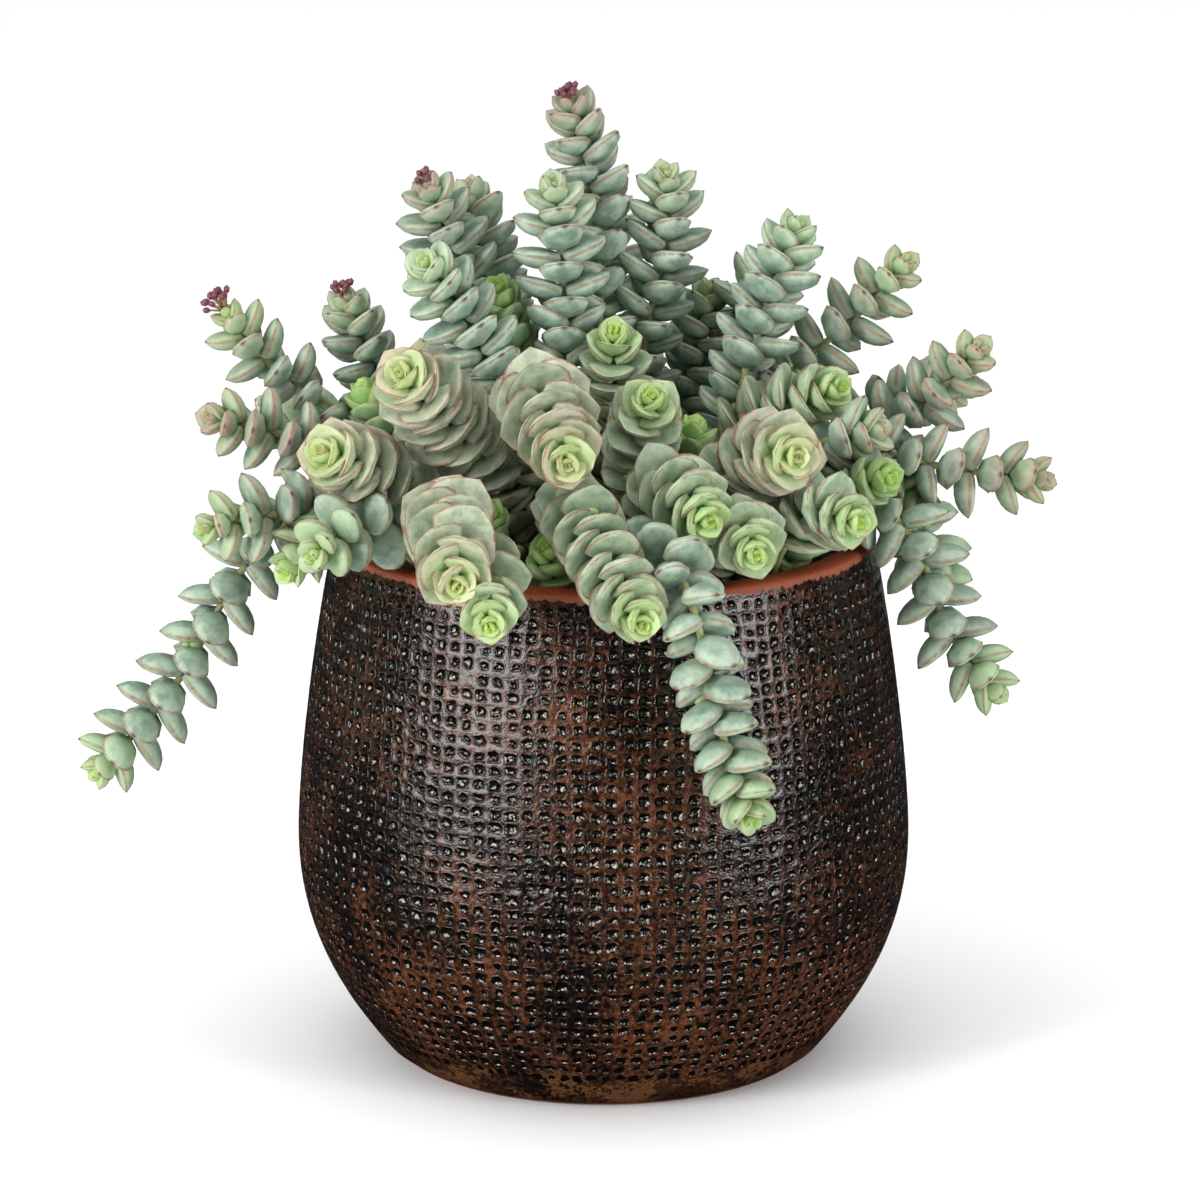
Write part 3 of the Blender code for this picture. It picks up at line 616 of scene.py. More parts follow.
# The plant's kinds of stem: the leaf's length, width and thickness, the space between pairs, how far
# full-grown leaves lean to the tip, the stem's thickness, the length in full leaf and the length that
# still has some leaves below that. broad and pointed shape the leaf's outline at its base and its tip,
# blunt is how thick it stays towards its tip, under is the share of its thickness below the margin,
# ridge is how sharp the margin is, bowl raises the margins and curl bends it up. opening is how far
# below the tip its leaves reach most of their size, and nodding how far down they turn to the light.
habits = {
    "column": {"leaf": 12.0, "wide": 1.28, "thick": 3.6, "space": 3.5, "lean": 24, "stem": 2.2,
               "leafy": 34, "lower": 64, "broad": 0.44, "pointed": 0.60, "blunt": 0.66, "under": 0.74,
               "ridge": 1.25, "bowl": 0.15, "curl": 0.06, "opening": 3.9, "nodding": 17},
    "spire": {"leaf": 10.8, "wide": 0.92, "thick": 4.1, "space": 4.1, "lean": 16, "stem": 1.9,
              "leafy": 37, "lower": 84, "broad": 0.42, "pointed": 0.50, "blunt": 0.44, "under": 0.66,
              "ridge": 1.0, "bowl": 0.10, "curl": 0.07, "opening": 3.7, "nodding": 8},
    "rosette": {"leaf": 10.8, "wide": 0.98, "thick": 3.4, "space": 3.6, "lean": 24, "stem": 1.9,
                "leafy": 37, "lower": 84, "broad": 0.44, "pointed": 0.60, "blunt": 0.62, "under": 0.72,
                "ridge": 1.15, "bowl": 0.18, "curl": 0.08, "opening": 4.4, "nodding": 12},
    "necklace": {"leaf": 10.0, "wide": 0.90, "thick": 4.4, "space": 5.0, "lean": 12, "stem": 1.7,
                 "leafy": 50, "lower": 88, "broad": 0.44, "pointed": 0.48, "blunt": 0.44, "under": 0.64,
                 "ridge": 1.05, "bowl": 0.06, "curl": 0.05, "opening": 3.6, "nodding": 8},
    "trailing": {"leaf": 10.0, "wide": 0.92, "thick": 4.3, "space": 4.8, "lean": 14, "stem": 1.7,
                 "leafy": 84, "lower": 120, "broad": 0.44, "pointed": 0.48, "blunt": 0.44, "under": 0.66,
                 "ridge": 1.05, "bowl": 0.08, "curl": 0.05, "opening": 3.2, "nodding": 8},
    "sprig": {"leaf": 8.8, "wide": 1.04, "thick": 3.3, "space": 3.2, "lean": 24, "stem": 1.8,
              "leafy": 24, "lower": 38, "broad": 0.44, "pointed": 0.56, "blunt": 0.56, "under": 0.70,
              "ridge": 1.0, "bowl": 0.18, "curl": 0.12, "opening": 3.6, "nodding": 8},
}

# Stems whose leaves are wider or narrower than is usual for their kind, and the short ones.
leafWidths = {
    "spire_left": 1.16, "spire_centre": 1.08, "sprig_centre": 1.12, "rosette_centre_right": 1.2,
    "rosette_rim_right": 1.2, "rosette_right": 1.2, "rosette_far_right": 1.2, "shoulder_right": 1.12,
    "shoulder_right_low": 1.12, "spire_right": 1.04, "trailing_front": 1.06, "spire_tall": 0.94,
    "spire_behind_right": 0.94, "column_over_rim_front": 1.2, "rosette_front_left": 1.14,
}
leafyLengths = {"rosette_front_left": (20, 26), "sprig_over_rim_left": (24, 38)}

# Stems whose heads turn to the light, and which way and how strongly.
nods = {
    "spire_centre": (-0.05, -0.75, 0.1), "spire_left": (-0.25, -0.85, 0.0), "spire_right": (0.1, -0.55, 0.1),
    "spire_tall": (-0.2, -0.45, 0.1), "spire_behind_left": (-0.25, -0.5, 0.1),
    "spire_behind_right": (0.1, -0.6, 0.1), "sprig_centre": (0.1, -0.95, 0.0),
    "sprig_centre_left": (-0.1, -0.8, 0.0), "column_front": (0.1, -0.35, 0.45),
    "column_left": (-0.1, -0.5, 0.25), "column_far_left": (-0.1, -0.6, 0.3),
    "column_over_rim_left": (0.05, -0.45, 0.6), "column_over_rim_front": (0.0, -0.55, 0.85),
    "rosette_front_left": (0.05, -0.4, 0.75), "column_right": (0.05, -0.35, 0.15),
    "rosette_centre_right": (0.0, -0.6, -0.1), "shoulder_right": (-0.15, -0.7, 0.1),
    "arm_right_high": (-0.1, -0.55, 0.0), "arm_right_middle": (-0.2, -0.7, 0.0),
    "arm_right_low": (-0.25, -0.7, 0.1), "arm_left_middle": (0.2, -0.7, 0.0),
    "arm_left_low": (0.2, -0.8, 0.1), "arm_left_rim": (0.1, -0.5, 0.3), "trailing_front": (0.1, -0.8, 0.5),
    "trailing_left": (0.0, -0.6, 0.3), "trailing_right": (0.1, -0.6, 0.3),
    "spire_far_right": (0.1, -0.5, 0.0), "back_spire": (0.0, 0.6, 0.0),
    "sprig_over_rim_left": (0.1, -0.5, 0.5), "spire_farther_right": (0.3, -0.3, 0.0),
}

# Each stem: its kind, where it leaves the soil, and the points that it passes through to its tip.
stems = {
    "column_front": ("column", (-11, -14), (-15, -26, 148), (-14, -40, 158), (-8, -62, 148)),
    "column_left": ("column", (-20, -18), (-24, -21, 137), (-35, -37, 154), (-43, -48, 165)),
    "column_far_left": ("column", (-33, -18), (-41, -27, 133), (-51, -40, 142), (-60, -49, 148)),
    "column_over_rim_left": ("column", (-26, -34), (-34, -52, 133), (-31, -68, 132), (-30, -78, 125)),
    "column_over_rim_front": ("column", (-3, -30), (-7, -46, 136), (-1, -66, 130), (8, -80, 117)),
    "column_right": ("column", (19, -22), (28, -30, 136), (35, -39, 145), (41, -49, 147)),
    "spire_left": ("spire", (-18, -5), (-22, -8, 150), (-31, -10, 170), (-39, -12, 183)),
    "spire_right": ("spire", (19, 1), (28, -3, 144), (34, 0, 164), (43, 5, 188)),
    "spire_centre": ("spire", (-7, -1), (-9, -4, 150), (-9, 0, 172), (-11, 2, 198)),
    "spire_tall": ("spire", (-2, 13), (-1, 16, 163), (-1, 20, 188), (-7, 20, 214)),
    "spire_behind_left": ("spire", (-21, 10), (-28, 15, 166), (-35, 13, 183), (-39, 10, 197)),
    "spire_behind_right": ("spire", (9, 13), (10, 17, 163), (14, 18, 183), (14, 18, 198)),
    "spire_far_left": ("spire", (-17, 26), (-24, 27, 166), (-31, 30, 193)),
    "rosette_front_left": ("column", (-17, -33), (-24, -52, 129), (-26, -68, 127), (-24, -80, 117)),
    "trailing_front": ("trailing", (12, -37), (13, -54, 130), (15, -65, 128), (19, -73, 119),
                       (23, -74, 100), (31, -78, 75)),
    "trailing_left": ("trailing", (-42, -8), (-54, -13, 131), (-64, -16, 130), (-75, -17, 121),
                      (-97, -20, 87), (-113, -21, 69)),
    "trailing_right": ("trailing", (41, -12), (54, -19, 131), (64, -22, 128), (70, -22, 119),
                       (76, -22, 103), (87, -24, 88)),
    "arm_right_high": ("necklace", (28, 9), (42, 8, 154), (56, 10, 166), (68, 10, 179)),
    "arm_right_middle": ("necklace", (36, 0), (62, 1, 142), (73, -1, 150), (84, -2, 162)),
    "arm_right_low": ("necklace", (38, -7), (59, -13, 140), (77, -14, 137), (98, -12, 134)),
    "arm_left_low": ("necklace", (-38, -26), (-58, -27, 127), (-73, -31, 130), (-87, -34, 128)),
    "arm_left_rim": ("necklace", (-32, -26), (-46, -39, 129), (-54, -47, 131), (-62, -57, 127)),
    "arm_left_middle": ("necklace", (-41, -3), (-68, -8, 142), (-87, -12, 148)),
    "arm_left_high": ("necklace", (-37, 10), (-62, 7, 147), (-77, 4, 159), (-84, 2, 169)),
    "arm_left_upper": ("spire", (-33, 20), (-48, 15, 145), (-55, 13, 159), (-58, 11, 170)),
    "sprig_over_rim_left": ("sprig", (-41, -17), (-51, -23, 129), (-61, -29, 128), (-69, -33, 118)),
    "sprig_centre": ("spire", (2, -8), (3, -6, 148), (2, -9, 167)),
    "sprig_centre_left": ("sprig", (-13, 5), (-20, 2, 158), (-24, 4, 175)),
    "rosette_centre_right": ("spire", (7, -15), (8, -24, 141), (10, -36, 158)),
    "rosette_rim_right": ("spire", (10, -25), (13, -42, 139), (22, -61, 136)),
    "rosette_right": ("spire", (26, -33), (29, -50, 131), (32, -62, 129)),
    "rosette_far_right": ("spire", (37, -31), (47, -44, 134), (54, -54, 134)),
    "shoulder_right": ("spire", (23, -9), (37, -12, 150), (52, -17, 156)),
    "shoulder_right_low": ("spire", (29, -15), (48, -20, 144), (60, -25, 148)),
    "shoulder_far_right": ("sprig", (46, -3), (64, -7, 132), (72, -11, 126)),
    "inner_right": ("sprig", (34, -13), (54, -25, 136), (62, -33, 139)),
    "inner_front_right": ("sprig", (30, -37), (35, -42, 130)),
    "inner_rim_right": ("sprig", (40, -26), (43, -34, 128)),
    "inner_front": ("sprig", (-12, -43), (-13, -50, 127)),
    "inner_front_left": ("sprig", (-22, -41), (-24, -49, 134)),
    "inner_left": ("sprig", (-38, -31), (-41, -36, 129)),
    "inner_upper_left": ("sprig", (-33, 4), (-54, 1, 152)),
    "inner_centre_right": ("sprig", (15, -12), (20, -14, 147)),
    "spire_far_right": ("spire", (14, 26), (22, 32, 151), (24, 33, 169)),
    "spire_farther_right": ("spire", (26, 20), (33, 29, 158), (35, 30, 176)),
    "back_spire": ("spire", (0, 29), (2, 37, 158), (2, 41, 188)),
    "back_column": ("column", (4, 42), (7, 56, 140), (6, 68, 147)),
    "back_column_left": ("column", (-24, 38), (-36, 48, 140), (-44, 58, 146)),
    "back_column_right": ("column", (30, 34), (42, 46, 138), (50, 54, 145)),
    "back_trailing": ("trailing", (-10, 39), (-12, 54, 131), (-14, 67, 128), (-15, 76, 116), (-19, 79, 92)),
    "back_trailing_right": ("trailing", (39, 21), (50, 31, 131), (62, 38, 129), (71, 42, 117),
                            (81, 46, 94)),
    "back_arm_left": ("necklace", (-36, 24), (-46, 31, 129), (-60, 40, 136), (-80, 46, 137)),
    "back_arm_right": ("necklace", (43, 10), (64, 20, 144), (84, 24, 150)),
    "back_sprig_left": ("spire", (-11, 24), (-15, 33, 134), (-20, 44, 146)),
    "back_sprig_right": ("spire", (15, 18), (20, 42, 134), (22, 52, 146)),
    "back_sprig_low": ("sprig", (-25, 29), (-27, 42, 128), (-30, 50, 130)),
    "back_sprig_rim": ("sprig", (31, 25), (34, 36, 128), (38, 43, 131)),
    "back_over_rim": ("necklace", (17, 38), (22, 54, 130), (28, 67, 127), (32, 76, 114)),
}

course = {
    "seed": 11, "step": 3.0, "holeDepth": 8.0, "rootGap": 0.4, "upright": 2.0,
    # Bending clear: how often, the room a stem takes in shares of its leaf, how far it gives way each
    # time, how often moves are evened out, and how loose the stem is at its foot and its tip.
    "clearingRounds": 40, "clearingRoom": 0.36, "givesWay": 0.5, "spreadingRounds": 6, "fixedFoot": 3.0,
    "looserOver": 12.0, "tipLooseness": 0.25, "tipStiffOver": 30.0,
}


def curveThrough(points):
    # A smooth curve that sets out straight up and passes through the points, with even bends.
    points = np.array(points, float)
    spans = np.linalg.norm(np.diff(points, axis=0), axis=1)[:, None]
    slopes = np.diff(points, axis=0) / spans
    inner = (slopes[:-1] * spans[1:] + slopes[1:] * spans[:-1]) / (spans[:-1] + spans[1:])
    tangents = np.vstack([[(0, 0, 1)], inner, slopes[-1:]])
    curve = [points[0]]
    for start, stop, leaving, arriving, span in zip(points, points[1:], tangents, tangents[1:], spans):
        for t in np.linspace(0, 1, max(1, round(span[0] / course["step"])) + 1)[1:]:
            curve.append((2 * t**3 - 3 * t**2 + 1) * start + (3 * t**2 - 2 * t**3) * stop
                         + span * ((t**3 - 2 * t**2 + t) * leaving + (t**3 - t**2) * arriving))
    return np.array(curve)


def firstCourse(root, points):
    # Straight up out of the hole in the soil, and on through the stem's points.
    bottom = soil["top"] - course["holeDepth"] + course["rootGap"]
    steps = math.ceil((soil["top"] - bottom) / course["step"]) + 1
    hole = [(*root, height) for height in np.linspace(bottom, soil["top"], steps)]
    return np.vstack([hole, curveThrough([(*root, soil["top"] + course["upright"]), *points])])


def evened(moves):
    for _ in range(course["spreadingRounds"]):
        padded = np.vstack([moves[:1], moves, moves[-1:]])
        moves = (padded[:-2] + 2 * padded[1:-1] + padded[2:]) / 4
    return moves


def looseness(points):
    # How freely a stem's points may move: not at all in the hole, and little at the tip.
    rise = np.clip((points[:, 2] - soil["top"] - course["fixedFoot"]) / course["looserOver"], 0, 1)
    fromTip = np.linspace(len(points) - 1, 0, len(points)) * course["step"]
    return (rise * np.clip(course["tipLooseness"] + fromTip / course["tipStiffOver"], 0, 1))[:, None]


def bendClear(courses, reaches):
    # Bends neighbouring stems away from each other.
    owner = np.repeat(np.arange(len(courses)), [len(points) for points in courses])
    points = np.concatenate(courses)
    loose = np.concatenate([looseness(one) for one in courses])
    room = course["clearingRoom"] * np.array(reaches)[owner]
    strangers = owner[:, None] != owner[None]
    for _ in range(course["clearingRounds"]):
        apart = points[:, None] - points[None]
        distance = np.linalg.norm(apart, axis=2) + 1e-6
        short = np.clip(room[:, None] + room[None] - distance, 0, None) * strangers
        moves = (apart * (short / distance)[..., None]).sum(axis=1)
        moves /= np.maximum((short > 0).sum(axis=1), 1)[:, None]
        moves = np.concatenate([evened(moves[owner == one]) for one in range(len(courses))])
        points = points + course["givesWay"] * moves * loose
    return [points[owner == one] for one in range(len(courses))]


class Stem:
    def __init__(self, name, points, seed):
        self.name = name
        self.kind = stems[name][0]
        self.habit = dict(habits[otherSkins.get(name, self.kind)])
        self.habit["wide"] *= leafWidths.get(name, 1)
        self.habit["leafy"], self.habit["lower"] = leafyLengths.get(
            name, (self.habit["leafy"], self.habit["lower"]))
        self.points = points
        steps = np.linalg.norm(np.diff(points, axis=0), axis=1)
        self.run = np.concatenate([[0], np.cumsum(steps)])
        self.length = self.run[-1]
        self.draw = np.random.RandomState(seed)
        self.sides = self.carriedSides()
        self.pairs = placePairs(self)
        self.leaves = {}

    def carriedSides(self):
        # A side direction for each point, turned as little as possible along the stem.
        angle = self.draw.uniform(0, math.pi / 2)
        side = Vector((math.cos(angle), math.sin(angle), 0))
        sides = []
        for tangent in np.gradient(self.points, axis=0):
            tangent = Vector(tangent).normalized()
            side = (side - tangent * side.dot(tangent)).normalized()
            sides.append(side.copy())
        return np.array(sides)

    def spot(self, at):
        return Vector([np.interp(at, self.run, self.points[:, axis]) for axis in range(3)])

    def sights(self, at):
        # The centre, the way of growth and the two sideways directions at a length from the root.
        way = (self.spot(at + 1) - self.spot(at - 1)).normalized()
        nod = Vector(nods.get(self.name, (0, 0, 0))) * math.exp((at - self.length) / self.habit["nodding"])
        growing = (way + nod).normalized()
        side = Vector([np.interp(at, self.run, self.sides[:, axis]) for axis in range(3)])
        side = (side - growing * side.dot(growing)).normalized()
        return self.spot(at), growing, side, growing.cross(side)


# Where the plant's leaves grow.
growth = {
    # The first pair: how far below the tip, its size, space and lean, and where those become usual.
    "tip": 0.2, "tipShare": 0.13, "tipSpace": 0.13, "spaceOver": 7.5, "tipLean": 74, "leanOver": 4.2,
    "sizeVaries": (0.94, 1.05), "pairLeans": 4, "pairTurns": 7, "leanVaries": 6,
    # So many pairs at a tip are its heart, which lean less and aren't kept clear of each other.
    "heart": 6, "heartLean": 0.5,
    # Inside the plant the leaves end at one height, and below another only some are left.
    "lowest": 111.5, "shadeHeight": 132.0, "shadeRadius": 52.0, "young": 10.0,
    "gap": 0.65, "lowerGap": 0.15, "lowerSize": 0.9, "lowerMissing": 0.05,
    # What a leaf tries in turn until it has room.
    "turns": (0, 14, -14, 26, -26), "leans": (0, 14, -12), "shares": (1.0, 0.88, 0.78),
    # A leaf's stand-in: shares of its length, and how wide and deep it is there.
    "guard": ((0.1, 0.5, 1.4), (0.25, 0.8, 1.0), (0.5, 1.0, 1.0), (0.8, 0.76, 0.7)),
    "keel": 0.6, "thinnest": 0.8, "thickPower": 0.8, "sharePower": 0.5, "coreReach": 4,
}
ways = ((1, 0), (0, 1), (-1, 0), (0, -1))


def placePairs(stem):
    # Each pair of leaves from the tip down, smaller and steeper near the tip. A stem is in full leaf
    # near its tip, and has some leaves further down between the others.
    pairs = []
    below = growth["tip"]
    full = True
    while below < stem.habit["lower"]:
        place = stem.spot(stem.length - below)
        inside = math.hypot(place.x, place.y) < growth["shadeRadius"]
        if inside and place.z < growth["lowest"]:
            break
        shaded = inside and place.z < growth["shadeHeight"]
        full = full and below < stem.habit["leafy"] and (below < growth["young"] or not shaded)
        size = 1 - (1 - growth["tipShare"]) * math.exp(-below / stem.habit["opening"])
        size *= stem.draw.uniform(*growth["sizeVaries"]) * (1 if full else growth["lowerSize"])
        lean = stem.habit["lean"] + (growth["tipLean"] - stem.habit["lean"]) * math.exp(
            -below / growth["leanOver"]) + stem.draw.uniform(-growth["pairLeans"], growth["pairLeans"])
        turn = stem.draw.uniform(-growth["pairTurns"], growth["pairTurns"])
        pairs.append({"at": stem.length - below, "size": size, "lean": lean, "turn": turn, "full": full})
        below += stem.habit["space"] * (1 - (1 - growth["tipSpace"]) * math.exp(
            -below / growth["spaceOver"]))
    return pairs


def leafSights(stem, pair, number, side, moreTurn=0, moreLean=0):
    # Where a leaf starts, the way it grows out, the way across it and the way up from its top.
    centre, upward, first, second = stem.sights(pair["at"])
    way = ways[(number % 2) + 2 * side]
    turn = Matrix.Rotation(math.radians(pair["turn"] + moreTurn), 3, upward)
    out = turn @ (first * way[0] + second * way[1])
    lean = math.radians(pair["lean"] + moreLean)
    blade = out * math.cos(lean) + upward * math.sin(lean)
    return centre, blade, upward.cross(out), upward * math.cos(lean) - out * math.sin(lean)


def leafSize(stem, pair, share):
    length = stem.habit["leaf"] * pair["size"] * share
    thick = stem.habit["thick"] * pair["size"] ** growth["thickPower"] * share ** growth["sharePower"]
    return length, length * stem.habit["wide"] / 2, max(growth["thinnest"], thick)


def leafGuard(stem, number, side, swell, share=1.0, moreTurn=0, moreLean=0):
    # A closed stand-in for one leaf, grown by swell, with its middle and its reach.
    pair = stem.pairs[number]
    start, blade, across, upper = leafSights(stem, pair, number, side, moreTurn, moreLean)
    length, half, thick = leafSize(stem, pair, share)
    corners = [start]
    for along, wide, deep in growth["guard"]:
        middle = start + blade * (length * along)
        aside = across * ((half + swell) * wide)
        corners += [middle - aside, middle - upper * ((thick + 2 * swell) * growth["keel"] * deep),
                    middle + aside, middle + upper * ((thick + 2 * swell) * (1 - growth["keel"]) * deep)]
    corners.append(start + blade * (length + swell))
    faces = [(0, 1 + corner, 1 + (corner + 1) % 4) for corner in range(4)]
    last = len(corners) - 5
    for low in range(1, last, 4):
        faces += [(low + corner, low + 4 + corner, low + 4 + (corner + 1) % 4, low + (corner + 1) % 4)
                  for corner in range(4)]
    faces += [(last + corner, last + 4, last + (corner + 1) % 4) for corner in range(4)]
    middle = (start + corners[-1]) / 2
    return BVHTree.FromPolygons(corners, faces), middle, max((corner - middle).length for corner in corners)


# A stem's own rod: how it is cut up, how it tapers to its tip, how thick it is between and at joints.
rod = {"sides": 8, "cutEvery": 2.4, "underTip": 0.6, "tipShare": 0.55, "taperOver": 25, "thin": 0.94,
       "joints": 0.1, "guardEvery": 3.0}


def stemHalf(stem, at):
    # Half the stem's thickness, which is less towards its tip.
    return stem.habit["stem"] / 2 * min(1, rod["tipShare"] + (stem.length - at) / rod["taperOver"])


def stemGuard(stem):
    corners = []
    for at in np.arange(0, stem.length, rod["guardEvery"]):
        centre, _, first, second = stem.sights(at)
        half = stemHalf(stem, at)
        corners += [centre + (first * i + second * j) * half for i, j in ((-1, -1), (1, -1), (1, 1), (-1, 1))]
    faces = []
    for low in range(0, len(corners) - 4, 4):
        faces += [(low + side, low + (side + 1) % 4, low + 4 + (side + 1) % 4, low + 4 + side)
                  for side in range(4)]
    return BVHTree.FromPolygons(corners, faces)


def nodeGuard(node):
    # The surface of the pot's or the soil's plain solid, in millimetres.
    data = bpy.data.objects[node].data
    return BVHTree.FromPolygons([vertex.co / millimetre for vertex in data.vertices],
                                [tuple(face.vertices) for face in data.polygons])


class Neighbours:
    # What a new leaf has to stay clear of: the pot, the soil, other stems and the leaves placed so far.
    def __init__(self, plants):
        self.walls = [nodeGuard("pot"), nodeGuard("soil")]
        self.cores = [stemGuard(stem) for stem in plants]
        self.corePoints = np.concatenate([stem.points for stem in plants])
        self.coreOwner = np.repeat(np.arange(len(plants)), [len(stem.points) for stem in plants])
        self.leaves = []
        self.owner = np.empty(0, int)
        self.middles = np.empty((0, 3))
        self.reaches = np.empty(0)

    def add(self, own, guard, middle, reach):
        self.leaves.append(guard)
        self.owner = np.append(self.owner, own)
        self.middles = np.vstack([self.middles, middle])
        self.reaches = np.append(self.reaches, reach)

    def touches(self, own, guard, middle, reach):
        away = np.linalg.norm(self.middles - np.array(middle), axis=1)
        near = np.flatnonzero((away < self.reaches + reach) & (self.owner != own))
        if any(guard.overlap(self.leaves[one]) for one in near):
            return True
        away = np.linalg.norm(self.corePoints - np.array(middle), axis=1)
        others = set(self.coreOwner[away < reach + growth["coreReach"]]) - {own}
        return any(guard.overlap(self.cores[one]) for one in others) or any(
            guard.overlap(wall) for wall in self.walls)


def findRoom(plants):
    # Gives each leaf, youngest first, a turn, a lean and a size in which it touches no other stem.
    # Leaves lower down get what room is left.
    around = Neighbours(plants)
    most = max(len(stem.pairs) for stem in plants)
    for full in (True, False):
        for number in range(most):
            for own, stem in enumerate(plants):
                if number >= len(stem.pairs) or stem.pairs[number]["full"] != full:
                    continue
                for side in (0, 1):
                    ownLean = stem.draw.uniform(-1, 1) * growth["leanVaries"]
                    if number < growth["heart"]:
                        lean = growth["heartLean"] * ownLean
                        stem.leaves[number, side] = {"share": 1.0, "moreTurn": 0, "moreLean": lean}
                        continue
                    if not full and stem.draw.uniform() < growth["lowerMissing"]:
                        continue
                    placeLeaf(stem, own, number, side, around, growth["gap" if full else "lowerGap"],
                              ownLean)


def placeLeaf(stem, own, number, side, around, gap, ownLean):
    for share in growth["shares"]:
        for moreLean in growth["leans"]:
            for moreTurn in growth["turns"]:
                changes = {"share": share, "moreTurn": moreTurn, "moreLean": ownLean + moreLean}
                if not around.touches(own, *leafGuard(stem, number, side, gap, **changes)):
                    stem.leaves[number, side] = changes
                    around.add(own, *leafGuard(stem, number, side, 0, **changes))
                    return


# The form of the leaves.
leafForm = {
    "around": 8, "rings": 8, "point": 0.055, "base": 0.30, "plump": 1.12, "crowded": 0.92,
    "unevenness": 0.035, "sharpOver": 0.71, "bowlOver": 3, "curlPower": 2.2,
    # Leaves are young in this many pairs from the tip, and then bowled and curled so much more.
    "youngPairs": 8.5, "youngBowl": 0.8, "youngCurl": 0.6,
}

# How pink the margins and young leaves of a stem are, where it isn't the usual share of its kind.
blushes = {
    "column": 0.6, "spire": 0.12, "necklace": 0.2, "trailing": 0.12, "sprig": 0.08,
    "arm_left_middle": 0.75, "arm_left_high": 0.45, "arm_right_high": 0.6, "arm_right_middle": 0.65,
    "arm_right_low": 0.6, "shoulder_right_low": 0.55, "shoulder_far_right": 0.5, "arm_left_low": 0.5,
    "back_arm_right": 0.6, "back_arm_left": 0.45, "spire_tall": 0.3, "spire_behind_left": 0.3,
    "column_over_rim_front": 0.35, "rosette_front_left": 0.25,
}
# How much the pink varies, in how many pairs it fades from the tip down, and what is left of it.
blushing = {"varies": (0.6, 1.3), "pairs": 30, "least": 0.35, "duskyPairs": 11}

# Stems whose young leaves are dusky pink rather than green, and how much so.
duskyTips = {
    "spire_tall": 1.0, "spire_behind_left": 0.9, "spire_centre": 0.5, "spire_behind_right": 0.6,
    "spire_far_left": 0.7, "arm_left_high": 0.6, "arm_left_upper": 0.7, "arm_right_high": 0.5,
    "arm_right_middle": 0.75, "arm_right_low": 0.8, "arm_left_middle": 0.85, "shoulder_right_low": 0.75,
    "shoulder_far_right": 0.8, "spire_far_right": 0.5, "back_spire": 0.7, "back_arm_right": 0.7,
    "back_arm_left": 0.6, "spire_left": 0.25,
}


def humped(along, rise, fall):
    # A hump from 0 to 1 and back, whose highest point is 1.
    top = rise / (rise + fall)
    return along ** rise * (1 - along) ** fall / (top ** rise * (1 - top) ** fall)


def growLeaf(mesh, marks, stem, pair, number, side, changes, tint):
    # A ball drawn out into a leaf: thick, with a ridge along its margin and a small point.
    start, blade, across, upper = leafSights(stem, pair, number, side, changes["moreTurn"],
                                             changes["moreLean"])
    length, half, thick = leafSize(stem, pair, changes["share"])
    thick *= leafForm["plump"]
    habit = stem.habit
    youth = min(1, max(0, 1 - number / leafForm["youngPairs"]))
    bowl = habit["bowl"] * (1 + leafForm["youngBowl"] * youth)
    curl = habit["curl"] * (1 + leafForm["youngCurl"] * youth)
    uneven = stem.draw.uniform(-1, 1, 3) * leafForm["unevenness"]
    ball = bmesh.ops.create_uvsphere(mesh, u_segments=leafForm["around"], v_segments=leafForm["rings"],
                                     radius=1)["verts"]
    for vertex in ball:
        x, y, z = vertex.co
        along = min(1, max(0, (1 + z) / 2)) ** leafForm["crowded"]
        spread = math.hypot(x, y)
        sideways, deep = (x / spread, y / spread) if spread > 1e-4 else (0, 0)
        wide = half * humped(along, habit["broad"], habit["pointed"]) * sideways
        rise = thick * humped(along, leafForm["base"], habit["blunt"])
        rise *= (1 if deep > 0 else -1) * abs(deep) ** habit["ridge"]
        rise *= (1 - habit["under"]) if deep > 0 else habit["under"]
        rise += bowl * half * (wide / half) ** 2 * min(1, along * leafForm["bowlOver"])
        rise += curl * length * along ** leafForm["curlPower"] + uneven[0] * length * along
        reach = length * (along + (leafForm["point"] if along > 0.999 else 0))
        wide += uneven[1] * length * along ** 2
        vertex.co = start + blade * reach + across * wide + upper * rise
        edge = abs(sideways) if 0.001 < along < 0.999 else 1.0
        vertex[marks] = (along, edge, youth, tint)
    if habit["under"] > leafForm["sharpOver"]:
        for edge in {edge for vertex in ball for edge in vertex.link_edges}:
            edge.smooth = min(end[marks][1] for end in edge.verts) < 0.99


def growStem(mesh, marks, stem):
    # A rod cut into short lengths and laid along the stem's course, thicker where leaves join it.
    bmesh.ops.create_cone(mesh, cap_ends=True, segments=rod["sides"], radius1=1, radius2=1, depth=1)
    upright = [edge for edge in mesh.edges if abs(edge.verts[0].co.z - edge.verts[1].co.z) > 0.5]
    bmesh.ops.subdivide_edges(mesh, edges=upright, cuts=round(stem.length / rod["cutEvery"]),
                              use_grid_fill=True)
    for vertex in mesh.verts:
        turn = math.atan2(vertex.co.y, vertex.co.x)
        at = (vertex.co.z + 0.5) * (stem.length - rod["underTip"])
        centre, _, first, second = stem.sights(at)
        joint = rod["thin"] + rod["joints"] * math.cos((stem.length - at) / stem.habit["space"] * math.tau)
        half = stemHalf(stem, at) * joint
        vertex.co = centre + (first * math.cos(turn) + second * math.sin(turn)) * half
        vertex[marks] = (at / stem.length, 0, 0, 0)
    for face in mesh.faces:
        face.material_index = 1


